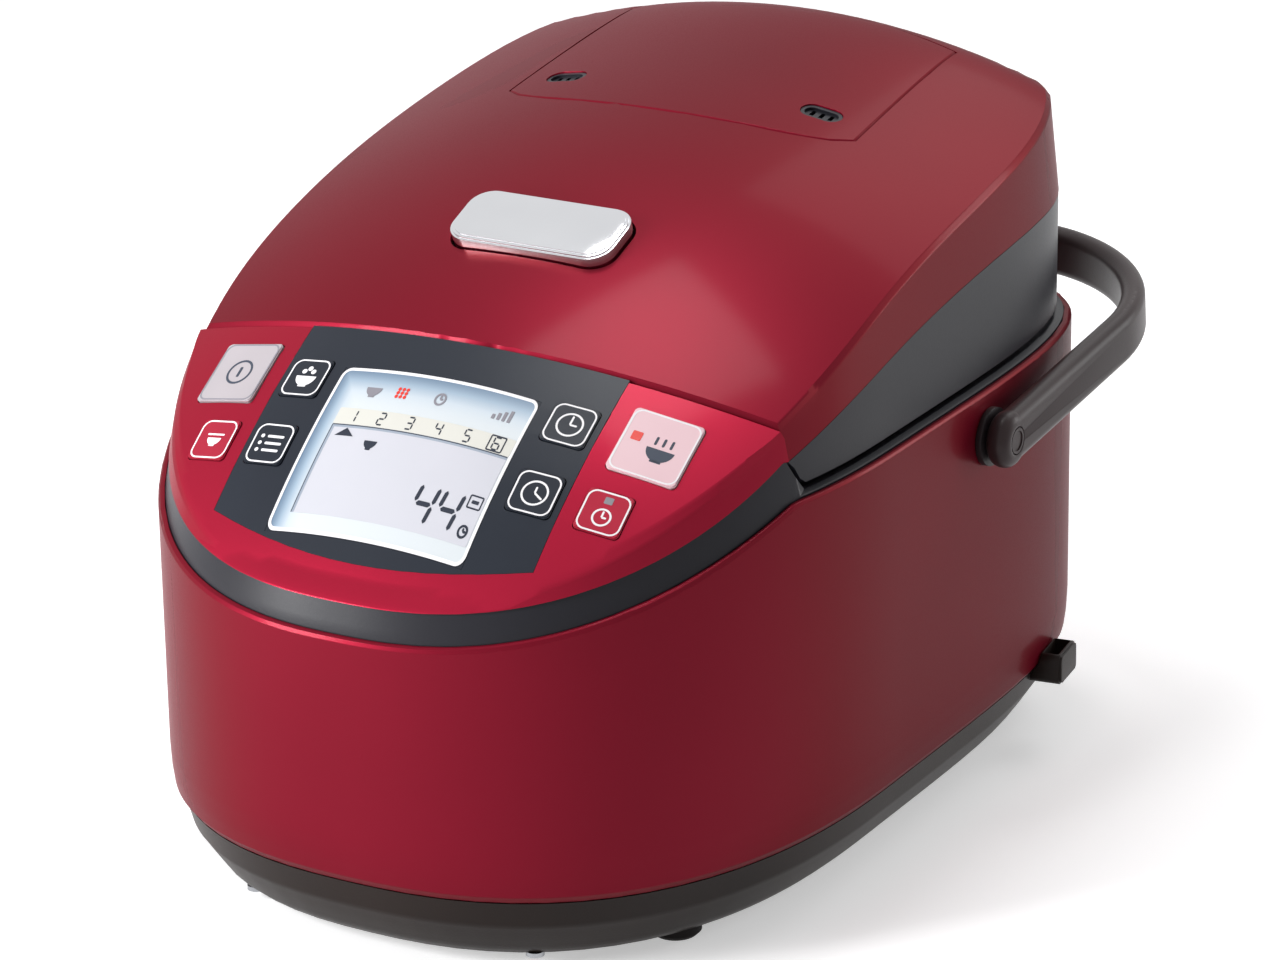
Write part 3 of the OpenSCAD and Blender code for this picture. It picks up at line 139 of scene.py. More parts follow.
level = math.cos(ELEVATION)
back = Vector((math.sin(AZIMUTH) * level, -math.cos(AZIMUTH) * level, math.sin(ELEVATION)))
right = Vector((math.cos(AZIMUTH), math.sin(AZIMUTH), 0))
up = back.cross(right)
right, up = (
    right * math.cos(ROLL) + up * math.sin(ROLL),
    up * math.cos(ROLL) - right * math.sin(ROLL),
)
bpy.ops.object.camera_add(location=CAMERA_AT)
camera = bpy.context.object
turn = Matrix((right, up, back)).transposed().to_4x4()
camera.matrix_world = Matrix.Translation(CAMERA_AT) @ turn
camera.data.lens = LENS_MM
camera.data.sensor_width = SENSOR_MM
camera.data.clip_end = 20
bpy.context.scene.camera = camera
print("camera", round(back.dot(Vector(CAMERA_AT)), 2), "m away along its axis")

# %% [markdown]
# A material is a small net of nodes. Three helpers keep the nets readable: one turns a colour
# as seen on a screen into the linear numbers that a shader wants, one adds a node with its
# settings and wires, and one lays out the stops of a colour ramp.

# %% Materials toolbox
def linear(code, alpha=1.0):
    """An sRGB hex colour as the linear values that a shader wants."""
    parts = [int(code[i : i + 2], 16) / 255 for i in (1, 3, 5)]
    parts = [c / 12.92 if c <= 0.04045 else ((c + 0.055) / 1.055) ** 2.4 for c in parts]
    return (*parts, alpha)


def add(mat, kind, links=None, values=None, **settings):
    """Adds one node: settings are its properties, values its sockets, links its wired sockets."""
    node = mat.node_tree.nodes.new("ShaderNode" + kind)
    for name, value in settings.items():
        setattr(node, name, value)
    for name, value in (values or {}).items():
        node.inputs[name].default_value = value
    for name, (source, output) in (links or {}).items():
        mat.node_tree.links.new(source.outputs[output], node.inputs[name])
    return node


def blank(name):
    """A new material without nodes."""
    mat = bpy.data.materials.new(name)
    mat.use_nodes = True
    mat.node_tree.nodes.clear()
    return mat


def close(mat, shader):
    """Wires the shader to the material's output."""
    add(mat, "OutputMaterial", {"Surface": (shader, 0)})
    return mat


def ramp(mat, source, output, stops):
    """A colour ramp with a stop for each (position, colour)."""
    node = add(mat, "ValToRGB", {"Fac": (source, output)})
    ends = node.color_ramp.elements[0], node.color_ramp.elements[1]
    for end, (position, colour) in zip(ends, (stops[0], stops[-1])):
        end.position, end.color = position, colour
    for position, colour in stops[1:-1]:
        node.color_ramp.elements.new(position).color = colour
    return node


print("white is", linear("#ffffff"))

# %% [markdown]
# Most surfaces of a cooker are moulded plastic, plated or rolled metal, or a coating. They all
# have the same three layers of detail, only in other amounts: a tone that drifts a little over
# some centimetres, a fine grain that breaks up the gloss, and a relief that the grain makes. So
# one function makes them, with the grain's real width in mm. An image would give no more here,
# and would not fit pieces that are turned or lifted out.

# %% A moulded, plated or coated finish
BLOTCH_MM, GRAIN_HEIGHT = 60.0, 0.0002
SMOOTHER, ROUGHER = 0.04, 0.05
PLASTIC_LEVEL, METAL_LEVEL, METAL_FROM = 0.2, 0.5, 0.5


def finish_of(name, light, dark, grain_mm, rough, bump=0.0, metallic=0.0):
    """Two close tones that drift, a fine grain, and the gloss."""
    mat = blank(name)
    where = add(mat, "TexCoord")
    drift = add(mat, "TexNoise", {"Vector": (where, "Object")},
                {"Scale": 1 / (BLOTCH_MM * MM), "Detail": 3.0})
    colour = ramp(mat, drift, "Fac", [(0.3, linear(dark)), (0.7, linear(light))])
    grain = add(mat, "TexNoise", {"Vector": (where, "Object")},
                {"Scale": 1 / (grain_mm * MM), "Detail": 4.0, "Roughness": 0.6})
    spread = add(mat, "MapRange", {"Value": (grain, "Fac")},
                 {"To Min": rough - SMOOTHER, "To Max": rough + ROUGHER})
    links = {"Base Color": (colour, "Color"), "Roughness": (spread, "Result")}
    if bump:
        relief = add(mat, "Bump", {"Height": (grain, "Fac")},
                     {"Strength": bump, "Distance": GRAIN_HEIGHT})
        links["Normal"] = (relief, "Normal")
    level = METAL_LEVEL if metallic > METAL_FROM else PLASTIC_LEVEL
    skin = add(mat, "BsdfPrincipled", links, {"Metallic": metallic, "Specular IOR Level": level})
    return close(mat, skin)


def dress(node, mat):
    """Gives a CAD node's own object its finish."""
    part = frame["nodes"][node]
    for slot in part.material_slots:
        slot.material = mat
    if not part.material_slots:
        part.data.materials.append(mat)


print("a blotch is", BLOTCH_MM, "mm wide")

# %% [markdown]
# Metallic red paint is a dark base coat full of tiny flakes under clear lacquer. It could be
# made with an image of flakes, but a cell pattern of their size does the same and never runs
# out. The base is half metallic, so it turns bright where it faces a lamp and almost black
# where it doesn't, and the lacquer adds a thin sharp reflection on top. The real flakes are
# 0.03 mm and can't show at this distance, so they are drawn 0.5 mm wide.

# %% Finish: metallic lacquer over steel and ABS
FLAKE_MM, CLOUD_MM = 0.5, 125.0
FLAKE_SPREAD, FLAKE_HEIGHT = 0.7, 0.00005
EDGE_TINT = "#6e1e2e"
MIX_A, MIX_B, MIX_RESULT = 6, 7, 2  # sockets that a colour Mix node uses


def metallic_lacquer(name, light, dark, rough):
    """A drifting base tone, flakes that vary the gloss, and a thin clear coat."""
    mat = blank(name)
    where = add(mat, "TexCoord")
    flake = add(mat, "TexVoronoi", {"Vector": (where, "Object")}, {"Scale": 1 / (FLAKE_MM * MM)})
    drift = add(mat, "TexNoise", {"Vector": (where, "Object")},
                {"Scale": 1 / (CLOUD_MM * MM), "Detail": 2.0})
    tone = add(mat, "Mix", {"Factor": (drift, "Fac")}, data_type="RGBA")
    tone.inputs[MIX_A].default_value = linear(dark)
    tone.inputs[MIX_B].default_value = linear(light)
    sparkle = add(mat, "MapRange", {"Value": (flake, "Distance")},
                  {"From Max": FLAKE_SPREAD, "To Min": rough - 0.03, "To Max": rough + 0.05})
    relief = add(mat, "Bump", {"Height": (flake, "Distance")},
                 {"Strength": 0.03, "Distance": FLAKE_HEIGHT})
    links = {"Base Color": (tone, MIX_RESULT), "Roughness": (sparkle, "Result"),
             "Normal": (relief, "Normal")}
    skin = add(mat, "BsdfPrincipled", links, {
        "Metallic": 0.45, "Specular IOR Level": 0.14, "Specular Tint": linear(EDGE_TINT),
        "Coat Weight": 0.09, "Coat Roughness": 0.12})
    return close(mat, skin)


# The shell's and lid's paint: deep wine red in the shade, cherry where it faces a lamp.
red_lacquer = metallic_lacquer("metallic_lacquer_red", "#7a1226", "#6a0e1f", 0.36)
# The same paint, made lighter as painted light: its colour stands for the brightness of the panel's
# frame beside the lid.
lacquer_painted_lighter = metallic_lacquer("metallic_lacquer_red_painted_lighter", "#9c1a33", "#8a152c", 0.34)
print("materials, with the CAD model's own:", len(bpy.data.materials))

# %% [markdown]
# Beside the paint, the outside is ABS in four dark tones, rubber, and a navy film over the
# panel. Moulds for ABS are spark-eroded, which leaves a grain a little under a millimetre wide.
# It is too fine to see as bumps, but it is why such plastic has a soft, wide gloss.

# %% Plastics and rubber of the outside
# Spark-eroded ABS: almost black, with a warm and wide gloss.
brown_abs = finish_of("ABS_moulded_dark_brown", "#1b110d", "#150d0a", 0.8, 0.42, bump=0.25)
# The same plastic from a finer mould: a calm satin line along the bail.
handle_abs = finish_of("ABS_moulded_brown_black", "#382b2c", "#2c2223", 0.8, 0.36, bump=0.15)
# A shade darker than the bail, so that the pivot reads as its own piece.
bush_abs = finish_of("ABS_moulded_near_black", "#262022", "#1c1719", 0.8, 0.4, bump=0.15)
# Moulded through in slate grey: cooler than the brown, with a broad soft highlight.
grey_abs = finish_of("ABS_moulded_slate_grey", "#25252b", "#1f1f25", 0.9, 0.36, bump=0.12)
# Rubber: no highlight at all, only a soft dark tone.
foot_rubber = finish_of("rubber_moulded_black", "#231f1f", "#1a1717", 0.6, 0.75, bump=0.4)
# A film printed from behind: an even blue black under a smooth satin skin.
navy_film = finish_of("polycarbonate_film_navy", "#20252e", "#1c2029", 0.7, 0.34, bump=0.1)
# Inner black plastic, rougher than what shows outside.
vent_abs = finish_of("ABS_moulded_black", "#2a2a2d", "#202023", 0.6, 0.5, bump=0.3)
print("materials, with the CAD model's own:", len(bpy.data.materials))

# %% [markdown]
# The lid opens and the pot lifts out, so what lies behind has real finishes too: heat-proof
# plastic, silicone, coated and plated metal, copper wire and ferrite. Metals are fully
# metallic with a pale base colour, and differ by how wide their highlight is.

# %% Finishes of the inside
# Heat-proof PBT: chalky, warm grey white.
pale_abs = finish_of("PBT_moulded_pale_grey", "#c9c6c0", "#bfbcb6", 0.9, 0.5, bump=0.2)
# Silicone: milky grey with a dull, slightly greasy gloss.
silicone = finish_of("silicone_moulded_grey", "#77777c", "#6c6c71", 0.7, 0.55, bump=0.2)
# Glass cloth under green solder mask, with its weave just felt.
board = finish_of("FR4_laminate_green", "#2c6a44", "#255c3a", 0.5, 0.4, bump=0.1)
# Non-stick coating: dark and speckled, with a metal glint under it.
pot_coat = finish_of("PTFE_coating_dark", "#4a4440", "#3d3835", 0.4, 0.38, bump=0.5, metallic=0.2)
# Fired enamel on sheet steel: hard, even and a little wavy.
liner_coat = finish_of("enamel_fired_grey", "#6d6e73", "#626368", 0.5, 0.35, bump=0.3)
# Pressed ferrite: dull charcoal, like slate.
ferrite = finish_of("ferrite_pressed", "#3a3a3e", "#2e2e32", 0.5, 0.7, bump=0.5)
# Stranded wire, lacquered: orange metal with a broken gloss.
copper = finish_of("copper_litz_wound", "#b8673a", "#9d5530", 0.6, 0.4, bump=0.6, metallic=0.9)
# Zinc plating: light metal with a slightly cloudy mirror.
zinc_steel = finish_of(
    "steel_zinc_plated", "#b4b6ba", "#9fa1a6", 0.3, 0.32, bump=0.15, metallic=1.0)
# Brushed stainless steel: a bright metal whose highlight spreads.
brushed_plate = finish_of(
    "stainless_steel_brushed", "#c3c4c7", "#b4b5b9", 0.2, 0.3, bump=0.2, metallic=1.0)
# Extruded aluminium: whiter than steel and softer in its gloss.
alu_fin = finish_of("aluminium_extruded", "#c4c7cc", "#b3b6bb", 0.3, 0.35, bump=0.15, metallic=1.0)
# Foil on film: crumpled, a faint gold.
foil = finish_of(
    "aluminium_foil_laminated", "#c9b794", "#b8a684", 1.5, 0.3, bump=0.6, metallic=0.7)
# POM: waxy grey, the look of a sliding part.
latch_pom = finish_of("POM_moulded_grey", "#8b8b90", "#7d7d82", 0.6, 0.45, bump=0.2)
print("materials, with the CAD model's own:", len(bpy.data.materials))

# %% [markdown]
# The button is plated with chrome, the keys are coloured films, and their signs are printed.
# The films carry their ink behind clear plastic, so they have an even tone and a satin gloss,
# while ink on top of a surface is flatter. Lenses are the glossiest pieces on the panel.

# %% Button, keys, inks and lenses
# Bright chrome on plastic: nearly a mirror, a touch darker than the white round it.
chrome = finish_of("chrome_plated_ABS", "#d9dadd", "#cfd0d4", 0.5, 0.1, metallic=1.0)
# Silver ink behind film: pale and slightly metallic.
silver_key = finish_of("PC_film_silver", "#b7b0b5", "#aaa3a8", 0.5, 0.32, bump=0.1, metallic=0.3)
# Rose ink behind film: pale, clean, no metal in it.
rose_key = finish_of("PC_film_rose", "#e3c3c9", "#d9b6bd", 0.5, 0.34, bump=0.08)
# Red ink with mica behind film: close to the lacquer, but flatter.
red_key = finish_of("PC_film_red", "#a8243a", "#971c32", 0.5, 0.32, bump=0.08, metallic=0.3)
# Screen-printed white: opaque and even.
white_ink = finish_of("ink_printed_white", "#eceaec", "#e2e0e3", 0.3, 0.45)
# Grey print, as for signs that are off.
grey_ink = finish_of("ink_printed_grey", "#8a8890", "#7c7a82", 0.3, 0.45)
# Blue black print on the pale keys. The same ink draws a thin line of painted shadow at the display
# field's step.
dark_ink_and_painted_shadow = finish_of("ink_printed_dark_and_painted_shadow", "#3d4452", "#363d4a", 0.3, 0.45)
# Liquid crystal that is switched on: dark, with a trace of blue.
crystal_ink = finish_of("liquid_crystal_dark", "#2f3440", "#262b36", 0.3, 0.35)
# A clear red lens with its lamp off: bright and glossy.
red_lens = finish_of("PMMA_lens_red", "#e0443a", "#d23a31", 0.4, 0.2)
# The same lens in smoke grey.
grey_lens = finish_of("PMMA_lens_grey", "#8f8d93", "#838187", 0.4, 0.2)

print("materials, with the CAD model's own:", len(bpy.data.materials))

# %% [markdown]
# Every node of the CAD model now gets its finish. A table from part to finish is the plainest
# way: it can be read like a parts list, and the count below shows whether one was forgotten.

# %% Dress the CAD nodes
FINISHES = {
    "body_shell": red_lacquer, "control_bezel": lacquer_painted_lighter, "lid_cover": red_lacquer,
    "steam_cap": red_lacquer, "base_pan": brown_abs, "paddle_sockets": brown_abs,
    "cord_outlet": brown_abs, "button_well": brown_abs, "rubber_feet": foot_rubber,
    "base_screws": zinc_steel, "shoulder_frame": grey_abs, "lid_skirt": grey_abs,
    "cap_tray": grey_abs, "display_panel": navy_film, "display_window": navy_film,
    "lcd_module": pale_abs, "control_board": board, "power_board": board,
    "key_cancel": silver_key, "key_small_batch": red_key, "key_rice": navy_film,
    "key_menu": navy_film, "key_hour": navy_film, "key_minute": navy_film,
    "key_start": rose_key, "key_timer": red_key, "well_liner": liner_coat,
    "coil_carrier": pale_abs, "induction_coil": copper, "ferrite_bars": ferrite,
    "pot_sensor": zinc_steel, "sensor_spring": zinc_steel, "heat_sink": alu_fin,
    "fan_housing": vent_abs, "fan_rotor": vent_abs, "cord_reel_case": vent_abs,
    "cord_reel_drum": vent_abs, "inner_pot": pot_coat, "hinge_pin": zinc_steel,
    "hinge_springs": zinc_steel, "latch_keeper": zinc_steel, "pivot_bushes": bush_abs,
    "handle_bail": handle_abs, "bail_caps": handle_abs, "lid_inner_cover": pale_abs,
    "lid_screws": zinc_steel, "inner_lid_plate": brushed_plate, "lid_gasket": silicone,
    "valve_housing": pale_abs, "pressure_ball": zinc_steel, "steam_duct": pale_abs,
    "steam_vents": grey_abs, "open_button": chrome, "button_spring": zinc_steel,
    "latch_hook": latch_pom, "latch_pin": zinc_steel, "lid_heater": foil,
}
for node, mat in FINISHES.items():
    dress(node, mat)
bare = sorted(set(frame["nodes"]) - set(FINISHES))
print("nodes without a finish:", bare)
bodies = frame["record"]["behaviour"]["bodies"]
BODY_OF = {node: body for body, members in bodies.items() for node in members}

# %% [markdown]
# The big mouldings are lofts in the CAD model, and a gloss finish would show their flats. A
# subdivision surface would pull the shape inwards, so a copy of each is cut finer instead, and
# the new corners are put back on the true surface: the walls on the plan's outline, the tops on
# the crown. The outline is a superellipse, an oval that a higher power makes squarer, with one
# power for its front half and one for its rear. An inset says how far inside it a corner lies.

# %% The outline of the walls
HALF, FRONT_POWER, REAR_POWER = 126.8, 2.43, 4.84
INSET_LOW, INSET_HIGH, HALVINGS = -6.0, 110.0, 30


def end_of(y):
    """Depth and power of the half of the plan that y lies in."""
    return (FRONT, FRONT_POWER) if y < 0 else (REAR, REAR_POWER)


def plan_radius(angle, inset):
    """Distance in mm from the middle to the outline, set in by inset, along a polar angle."""
    across, along = abs(math.cos(angle)), abs(math.sin(angle))
    depth, power = end_of(math.sin(angle))
    total = (across / (HALF - inset)) ** power + (along / (depth - inset)) ** power
    return total ** (-1 / power)


def inset_of(x, y):
    """How far in from the outline the point x, y lies, in mm, by halving."""
    angle, reach = math.atan2(y, x), math.hypot(x, y)
    low, high = INSET_LOW, INSET_HIGH
    for _ in range(HALVINGS):
        middle = (low + high) / 2
        if plan_radius(angle, middle) > reach:
            low = middle
        else:
            high = middle
    return (low + high) / 2


def outline_normal(x, y):
    """The level direction in which the outline faces at a wall's point."""
    inset = inset_of(x, y)
    depth, power = end_of(y)
    across, along = abs(x) / (HALF - inset), abs(y) / (depth - inset)
    nx, ny = across ** (power - 1) / (HALF - inset), along ** (power - 1) / (depth - inset)
    return Vector((math.copysign(nx, x), math.copysign(ny, y))).normalized()


def plan_of(point):
    """A point of a mesh in mm, in the crown's own coordinates."""
    return point.x / MM, point.y / MM - SHIFT, point.z / MM


print("inset at the side", round(inset_of(120, 0), 3), "mm")

# %% [markdown]
# Each corner remembers two numbers while it is cut: its inset from the outline and its rise
# over the crown. Blender blends them for the new corners, so a rounded rim stays rounded. Only
# new corners move, and never by more than a flat is deep, so the size of the part stays.

# %% Cut the walls, rims and tops finer
CUTS, TOP_SLACK = 2, 1.2
RIM_DEPTH, CHORD_DEPTH = 15.0, 1.6
WALL_LEAN, RIM_LEAN, OUTWARD = 0.35, 0.2, 0.5
WHOLLY, OFF_CROWN = 0.999, 99.0


def sort_faces(mesh, plan, marks):
    """Selects the walls, tops and rims, and marks their corners."""
    for face in mesh.polygons:
        n, (x, y, _) = face.normal, plan_of(face.center)
        out = n.x * x + n.y * y
        depth = max(abs(marks["rise"][k]) for k in face.vertices)
        wall = abs(n.z) < WALL_LEAN and out > OUTWARD * math.hypot(x, y)
        top = n.z > WALL_LEAN and depth < TOP_SLACK
        rim = not (wall or top) and n.z > RIM_LEAN and out > 0 and depth < RIM_DEPTH
        face.select = wall or top or rim
        for k in face.vertices:
            marks["on_wall"][k] = max(marks["on_wall"][k], float(wall or rim))
            marks["on_top"][k] = max(marks["on_top"][k], float(top or rim))
    for k, (x, y, _) in enumerate(plan):
        if marks["on_wall"][k]:
            marks["inset"][k] = inset_of(x, y)


print("flats up to", CHORD_DEPTH, "mm deep are cut finer")

# %% [markdown]
# Blender's own cut lays the new corners on the flats. They are then moved by their two marks,
# first outwards to the outline and then up to the crown.

# %% Lay the new corners on the true surface
def refine(skin):
    """Cuts the chosen faces and lays their new corners on the true surface."""
    mesh = skin.data
    count = len(mesh.vertices)
    marks = {name: [0.0] * count for name in ("inset", "rise", "on_wall", "on_top")}
    plan = [plan_of(v.co) for v in mesh.vertices]
    marks["rise"] = [
        z - crown(x, y) if -FRONT < y < REAR else OFF_CROWN for x, y, z in plan]
    sort_faces(mesh, plan, marks)
    for name, values in marks.items():
        mesh.attributes.new(name, "FLOAT", "POINT")
        mesh.attributes[name].data.foreach_set("value", values)
    bpy.ops.object.mode_set(mode="EDIT")
    bpy.ops.mesh.subdivide(number_cuts=CUTS)
    bpy.ops.object.mode_set(mode="OBJECT")
    for name in marks:
        marks[name] = [0.0] * len(mesh.vertices)
        mesh.attributes[name].data.foreach_get("value", marks[name])
    for k in range(count, len(mesh.vertices)):
        corner = mesh.vertices[k].co
        x, y, _ = plan_of(corner)
        if marks["on_wall"][k] > WHOLLY:
            angle = math.atan2(y, x)
            reach = plan_radius(angle, marks["inset"][k])
            if abs(reach - math.hypot(x, y)) < CHORD_DEPTH:
                x, y = reach * math.cos(angle), reach * math.sin(angle)
                corner.x, corner.y = x * MM, (y + SHIFT) * MM
        if marks["on_top"][k] > WHOLLY:
            corner.z = (crown(x, y) + marks["rise"][k]) * MM
    for name in marks:
        mesh.attributes.remove(mesh.attributes[name])


print("each edge gets", CUTS, "new corners")

# %% [markdown]
# Smooth shading blends the normals of neighbouring faces, and long thin triangles round a key's
# hole make it smudge. Since the true surfaces are known, their own normals are stored with the
# mesh: the crown's on the tops, the outline's on the walls, straight up or down on level faces.

# %% Shade with the true surface's normals
LEVEL_FACE, STEEP_FACE = 0.9995, 0.5
NEAR_OUTLINE, NEAR_CROWN, CROWN_SLACK = 0.96, 0.98, 0.5
SAME_BEND = 0.82


def near_crown(face, plan):
    """True where all of a face lies on the crown and faces as the crown does there."""
    for k in face.vertices:
        x, y, z = plan[k]
        if not -FRONT < y < REAR or abs(z - crown(x, y)) >= CROWN_SLACK:
            return False
    return face.normal.dot(crown_normal(*plan_of(face.center)[:2])) > NEAR_CROWN


def true_normals(skin):
    """Stores the true normals at the corners of walls, crowned tops and level faces."""
    mesh = skin.data
    plan = [plan_of(v.co) for v in mesh.vertices]
    level_way, wall_way, leans, crown_corners = {}, {}, {}, set()
    for face in mesh.polygons:
        n, (x, y, _) = face.normal, plan_of(face.center)
        if abs(n.z) > LEVEL_FACE:
            level_way.update((k, Vector((0, 0, math.copysign(1, n.z)))) for k in face.vertices)
        elif abs(n.z) < STEEP_FACE and n.x * x + n.y * y > 0:
            if n.to_2d().dot(outline_normal(x, y)) > NEAR_OUTLINE * math.hypot(n.x, n.y):
                for k in face.vertices:
                    lean, area = leans.get(k, (0.0, 0.0))
                    leans[k] = (lean + n.z * face.area, area + face.area)
        elif n.z > STEEP_FACE and near_crown(face, plan):
            crown_corners.update(face.vertices)
    crown_way = {k: crown_normal(*plan[k][:2]) for k in crown_corners}
    for k, (lean, area) in leans.items():
        lean = lean / area if area else 0.0
        level = outline_normal(*plan[k][:2]) * math.sqrt(1 - lean * lean)
        wall_way[k] = level.to_3d() + Vector((0, 0, lean))
    normals = [corner.vector.copy() for corner in mesh.corner_normals]
    for loop in mesh.loops:
        for ways in (level_way, crown_way, wall_way):
            way = ways.get(loop.vertex_index)
            if way and normals[loop.index].dot(way) > SAME_BEND:
                normals[loop.index] = way
    mesh.normals_split_custom_set(normals)


print("corners within", round(math.degrees(math.acos(SAME_BEND))), "degrees take the true normal")

# %% [markdown]
# A CAD part's mesh is loose triangles. Its copy is merged, its triangles are paired up again,
# it is cut finer where that pays, its sharp edges get a small bevel as a mould or a brush of
# paint leaves them, and it is shaded smooth up to the real creases. Then it takes the part's
# place on the same body.

# %% Make the skins
MERGE_M, CREASE_DEG, BEVEL_FROM_DEG = 0.00001, 28, 35


def smooth_skin(node, edge_mm=0.0, crease_deg=CREASE_DEG):
    """Replaces a CAD node by its merged, refined and softly edged copy."""
    bpy.ops.object.select_all(action="DESELECT")
    source = frame["nodes"][node]
    skin = source.copy()
    skin.data = source.data.copy()
    skin.parent = None
    skin.matrix_world = Matrix.Identity(4)
    skin.name = node + "_skin"
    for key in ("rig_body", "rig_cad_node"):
        if key in skin:
            del skin[key]
    bpy.context.scene.collection.objects.link(skin)
    skin.select_set(True)
    bpy.context.view_layer.objects.active = skin
    bpy.ops.object.mode_set(mode="EDIT")
    bpy.ops.mesh.select_all(action="SELECT")
    bpy.ops.mesh.remove_doubles(threshold=MERGE_M)
    bpy.ops.mesh.tris_convert_to_quads(face_threshold=0.2, shape_threshold=0.7)
    bpy.ops.mesh.select_mode(type="FACE")
    bpy.ops.object.mode_set(mode="OBJECT")
    if skin.data.attributes.get("custom_normal"):
        bpy.ops.mesh.customdata_custom_splitnormals_clear()
    if node in FINE:
        refine(skin)
    if edge_mm:
        soften = skin.modifiers.new("softened edges", "BEVEL")
        soften.width = edge_mm * MM
        soften.segments = 2
        soften.angle_limit = math.radians(BEVEL_FROM_DEG)
        bpy.ops.object.modifier_apply(modifier=soften.name)
    bpy.ops.object.shade_smooth_by_angle(angle=math.radians(crease_deg))
    if node in FINE:
        true_normals(skin)
    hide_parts(node)
    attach(skin, BODY_OF[node])
    return skin


print("creases stay from", CREASE_DEG, "degrees")

# %% [markdown]
# Big painted and moulded pieces are cut finer. The bevels are as wide as the real edges: wider
# where a hand touches, none on the thin film.

# %% Skins of the outer pieces
FINE = {
    "body_shell", "control_bezel", "lid_cover", "lid_skirt", "shoulder_frame", "base_pan",
    "steam_cap",
}
EDGE_MM = {
    "body_shell": 0.5, "control_bezel": 0.4, "lid_cover": 0.5, "lid_skirt": 0.3,
    "shoulder_frame": 0.3, "base_pan": 0.4, "steam_cap": 0.6, "display_panel": 0.0,
    "handle_bail": 0.6, "open_button": 0.7, "paddle_sockets": 0.5, "pivot_bushes": 0.4,
    "cord_outlet": 0.4,
}
for node, edge in EDGE_MM.items():
    skin = smooth_skin(node, edge)
    print(node, len(skin.data.polygons), "faces")

# %% [markdown]
# On the real cooker two springs grow shorter when their button or sensor is pressed. Here each is a
# merged copy of the coil, shaded smooth, on the coil's body, and the table's lengths are only
# printed.

# %% Springs of the button and the sensor
# for each spring: joint, way up from its seat, seat in m, free length and travel in mm
BUTTON_WAY, BUTTON_SEAT = (0, -0.365721, 0.930725), (0, -0.0518, 0.2044)
SENSOR_WAY, SENSOR_SEAT = (0, 0, 1), (0, 0.0079, 0.0084)
SPRINGS = {
    "button_spring": ("open_button_press", BUTTON_WAY, BUTTON_SEAT, 10.0, 4.0),
    "sensor_spring": ("pot_sensor_press", SENSOR_WAY, SENSOR_SEAT, 28.1, 2.0),
}
WIRE_CREASE_DEG = 60
for node, (joint, way, seat, length_mm, travel_mm) in SPRINGS.items():
    coil = smooth_skin(node, crease_deg=WIRE_CREASE_DEG)
    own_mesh(coil)
    print(node, "shortens from", length_mm, "to", length_mm - travel_mm, "mm")

# %% [markdown]
# Printed marks are thin plates of ink. On the real panel they are screen-printed behind the
# film. Each is drawn flat from a few simple shapes, given its thickness, and then either set
# on a key's flat top or draped over the crowned panel. Thin real plates stay sharp at every
# distance, which a drawn image would not.

# %% Flat shapes for printed marks
INK = 0.06


def placed(o, at, turn=0.0):
    """Turns a flat shape by degrees and moves it to its place in mm."""
    spin = Matrix.Rotation(math.radians(turn), 4, "Z")
    o.data.transform(Matrix.Translation((at[0], at[1], 0)) @ spin)
    return o


def rounded(name, w, l, r, at=(0, 0), rim=0.0, turn=0.0, segments=6):
    """A rounded rectangle in mm, or with rim only its outline."""
    bpy.ops.object.select_all(action="DESELECT")
    bpy.ops.mesh.primitive_plane_add(size=1)
    o = bpy.context.object
    o.name = name
    bpy.ops.object.mode_set(mode="EDIT")
    bpy.ops.mesh.select_all(action="SELECT")
    bpy.ops.transform.resize(value=(w, l, 1))
    if r:
        bpy.ops.mesh.bevel(offset=r, segments=segments, affect="VERTICES")
    if rim:
        bpy.ops.mesh.select_all(action="SELECT")
        bpy.ops.mesh.inset(thickness=rim)
        bpy.ops.mesh.delete(type="FACE")
    bpy.ops.object.mode_set(mode="OBJECT")
    return placed(o, at, turn)


def disc(name, r, at=(0, 0), rim=0.0, corners=32):
    """A disc, or with three corners a triangle, or with rim a ring."""
    bpy.ops.object.select_all(action="DESELECT")
    bpy.ops.mesh.primitive_circle_add(vertices=corners, radius=r, fill_type="NGON")
    o = bpy.context.object
    o.name = name
    if rim:
        bpy.ops.object.mode_set(mode="EDIT")
        bpy.ops.mesh.select_all(action="SELECT")
        bpy.ops.mesh.inset(thickness=rim)
        bpy.ops.mesh.delete(type="FACE")
        bpy.ops.object.mode_set(mode="OBJECT")
    return placed(o, at)


print("ink is", INK, "mm thick")

# %% [markdown]
# A sign is often several shapes in one ink. They become one object, as one pass of the screen
# prints them, and then get the ink's thickness.

# %% Join shapes and thicken them
def joined(name, parts):
    """One object of several flat shapes, selected and active."""
    bpy.ops.object.select_all(action="DESELECT")
    for part in parts:
        part.select_set(True)
    bpy.context.view_layer.objects.active = parts[0]
    if len(parts) > 1:
        bpy.ops.object.join()
    bpy.context.object.name = name
    return bpy.context.object


def thicken(o, thickness):
    """Gives a flat sheet its thickness upwards, with faces that point outwards."""
    bpy.ops.object.select_all(action="DESELECT")
    o.select_set(True)
    bpy.context.view_layer.objects.active = o
    solid = o.modifiers.new("thickness", "SOLIDIFY")
    solid.thickness = thickness
    solid.offset = 1
    bpy.ops.object.modifier_apply(modifier=solid.name)
    bpy.ops.object.mode_set(mode="EDIT")
    bpy.ops.mesh.select_all(action="SELECT")
    bpy.ops.mesh.normals_make_consistent(inside=False)
    bpy.ops.object.mode_set(mode="OBJECT")
    print(o.name, len(o.data.vertices), "corners")


# %% [markdown]
# A mark moves with the part it is printed on. Those on a key ride on the key's body, so they
# go down with it when it is pressed, and the rest ride on the cooker's body.

# %% Put the marks in place
KEY_TOP, DRAPE_STEP, DRAPE_CREASE_DEG = 0.5, 4.0, 30


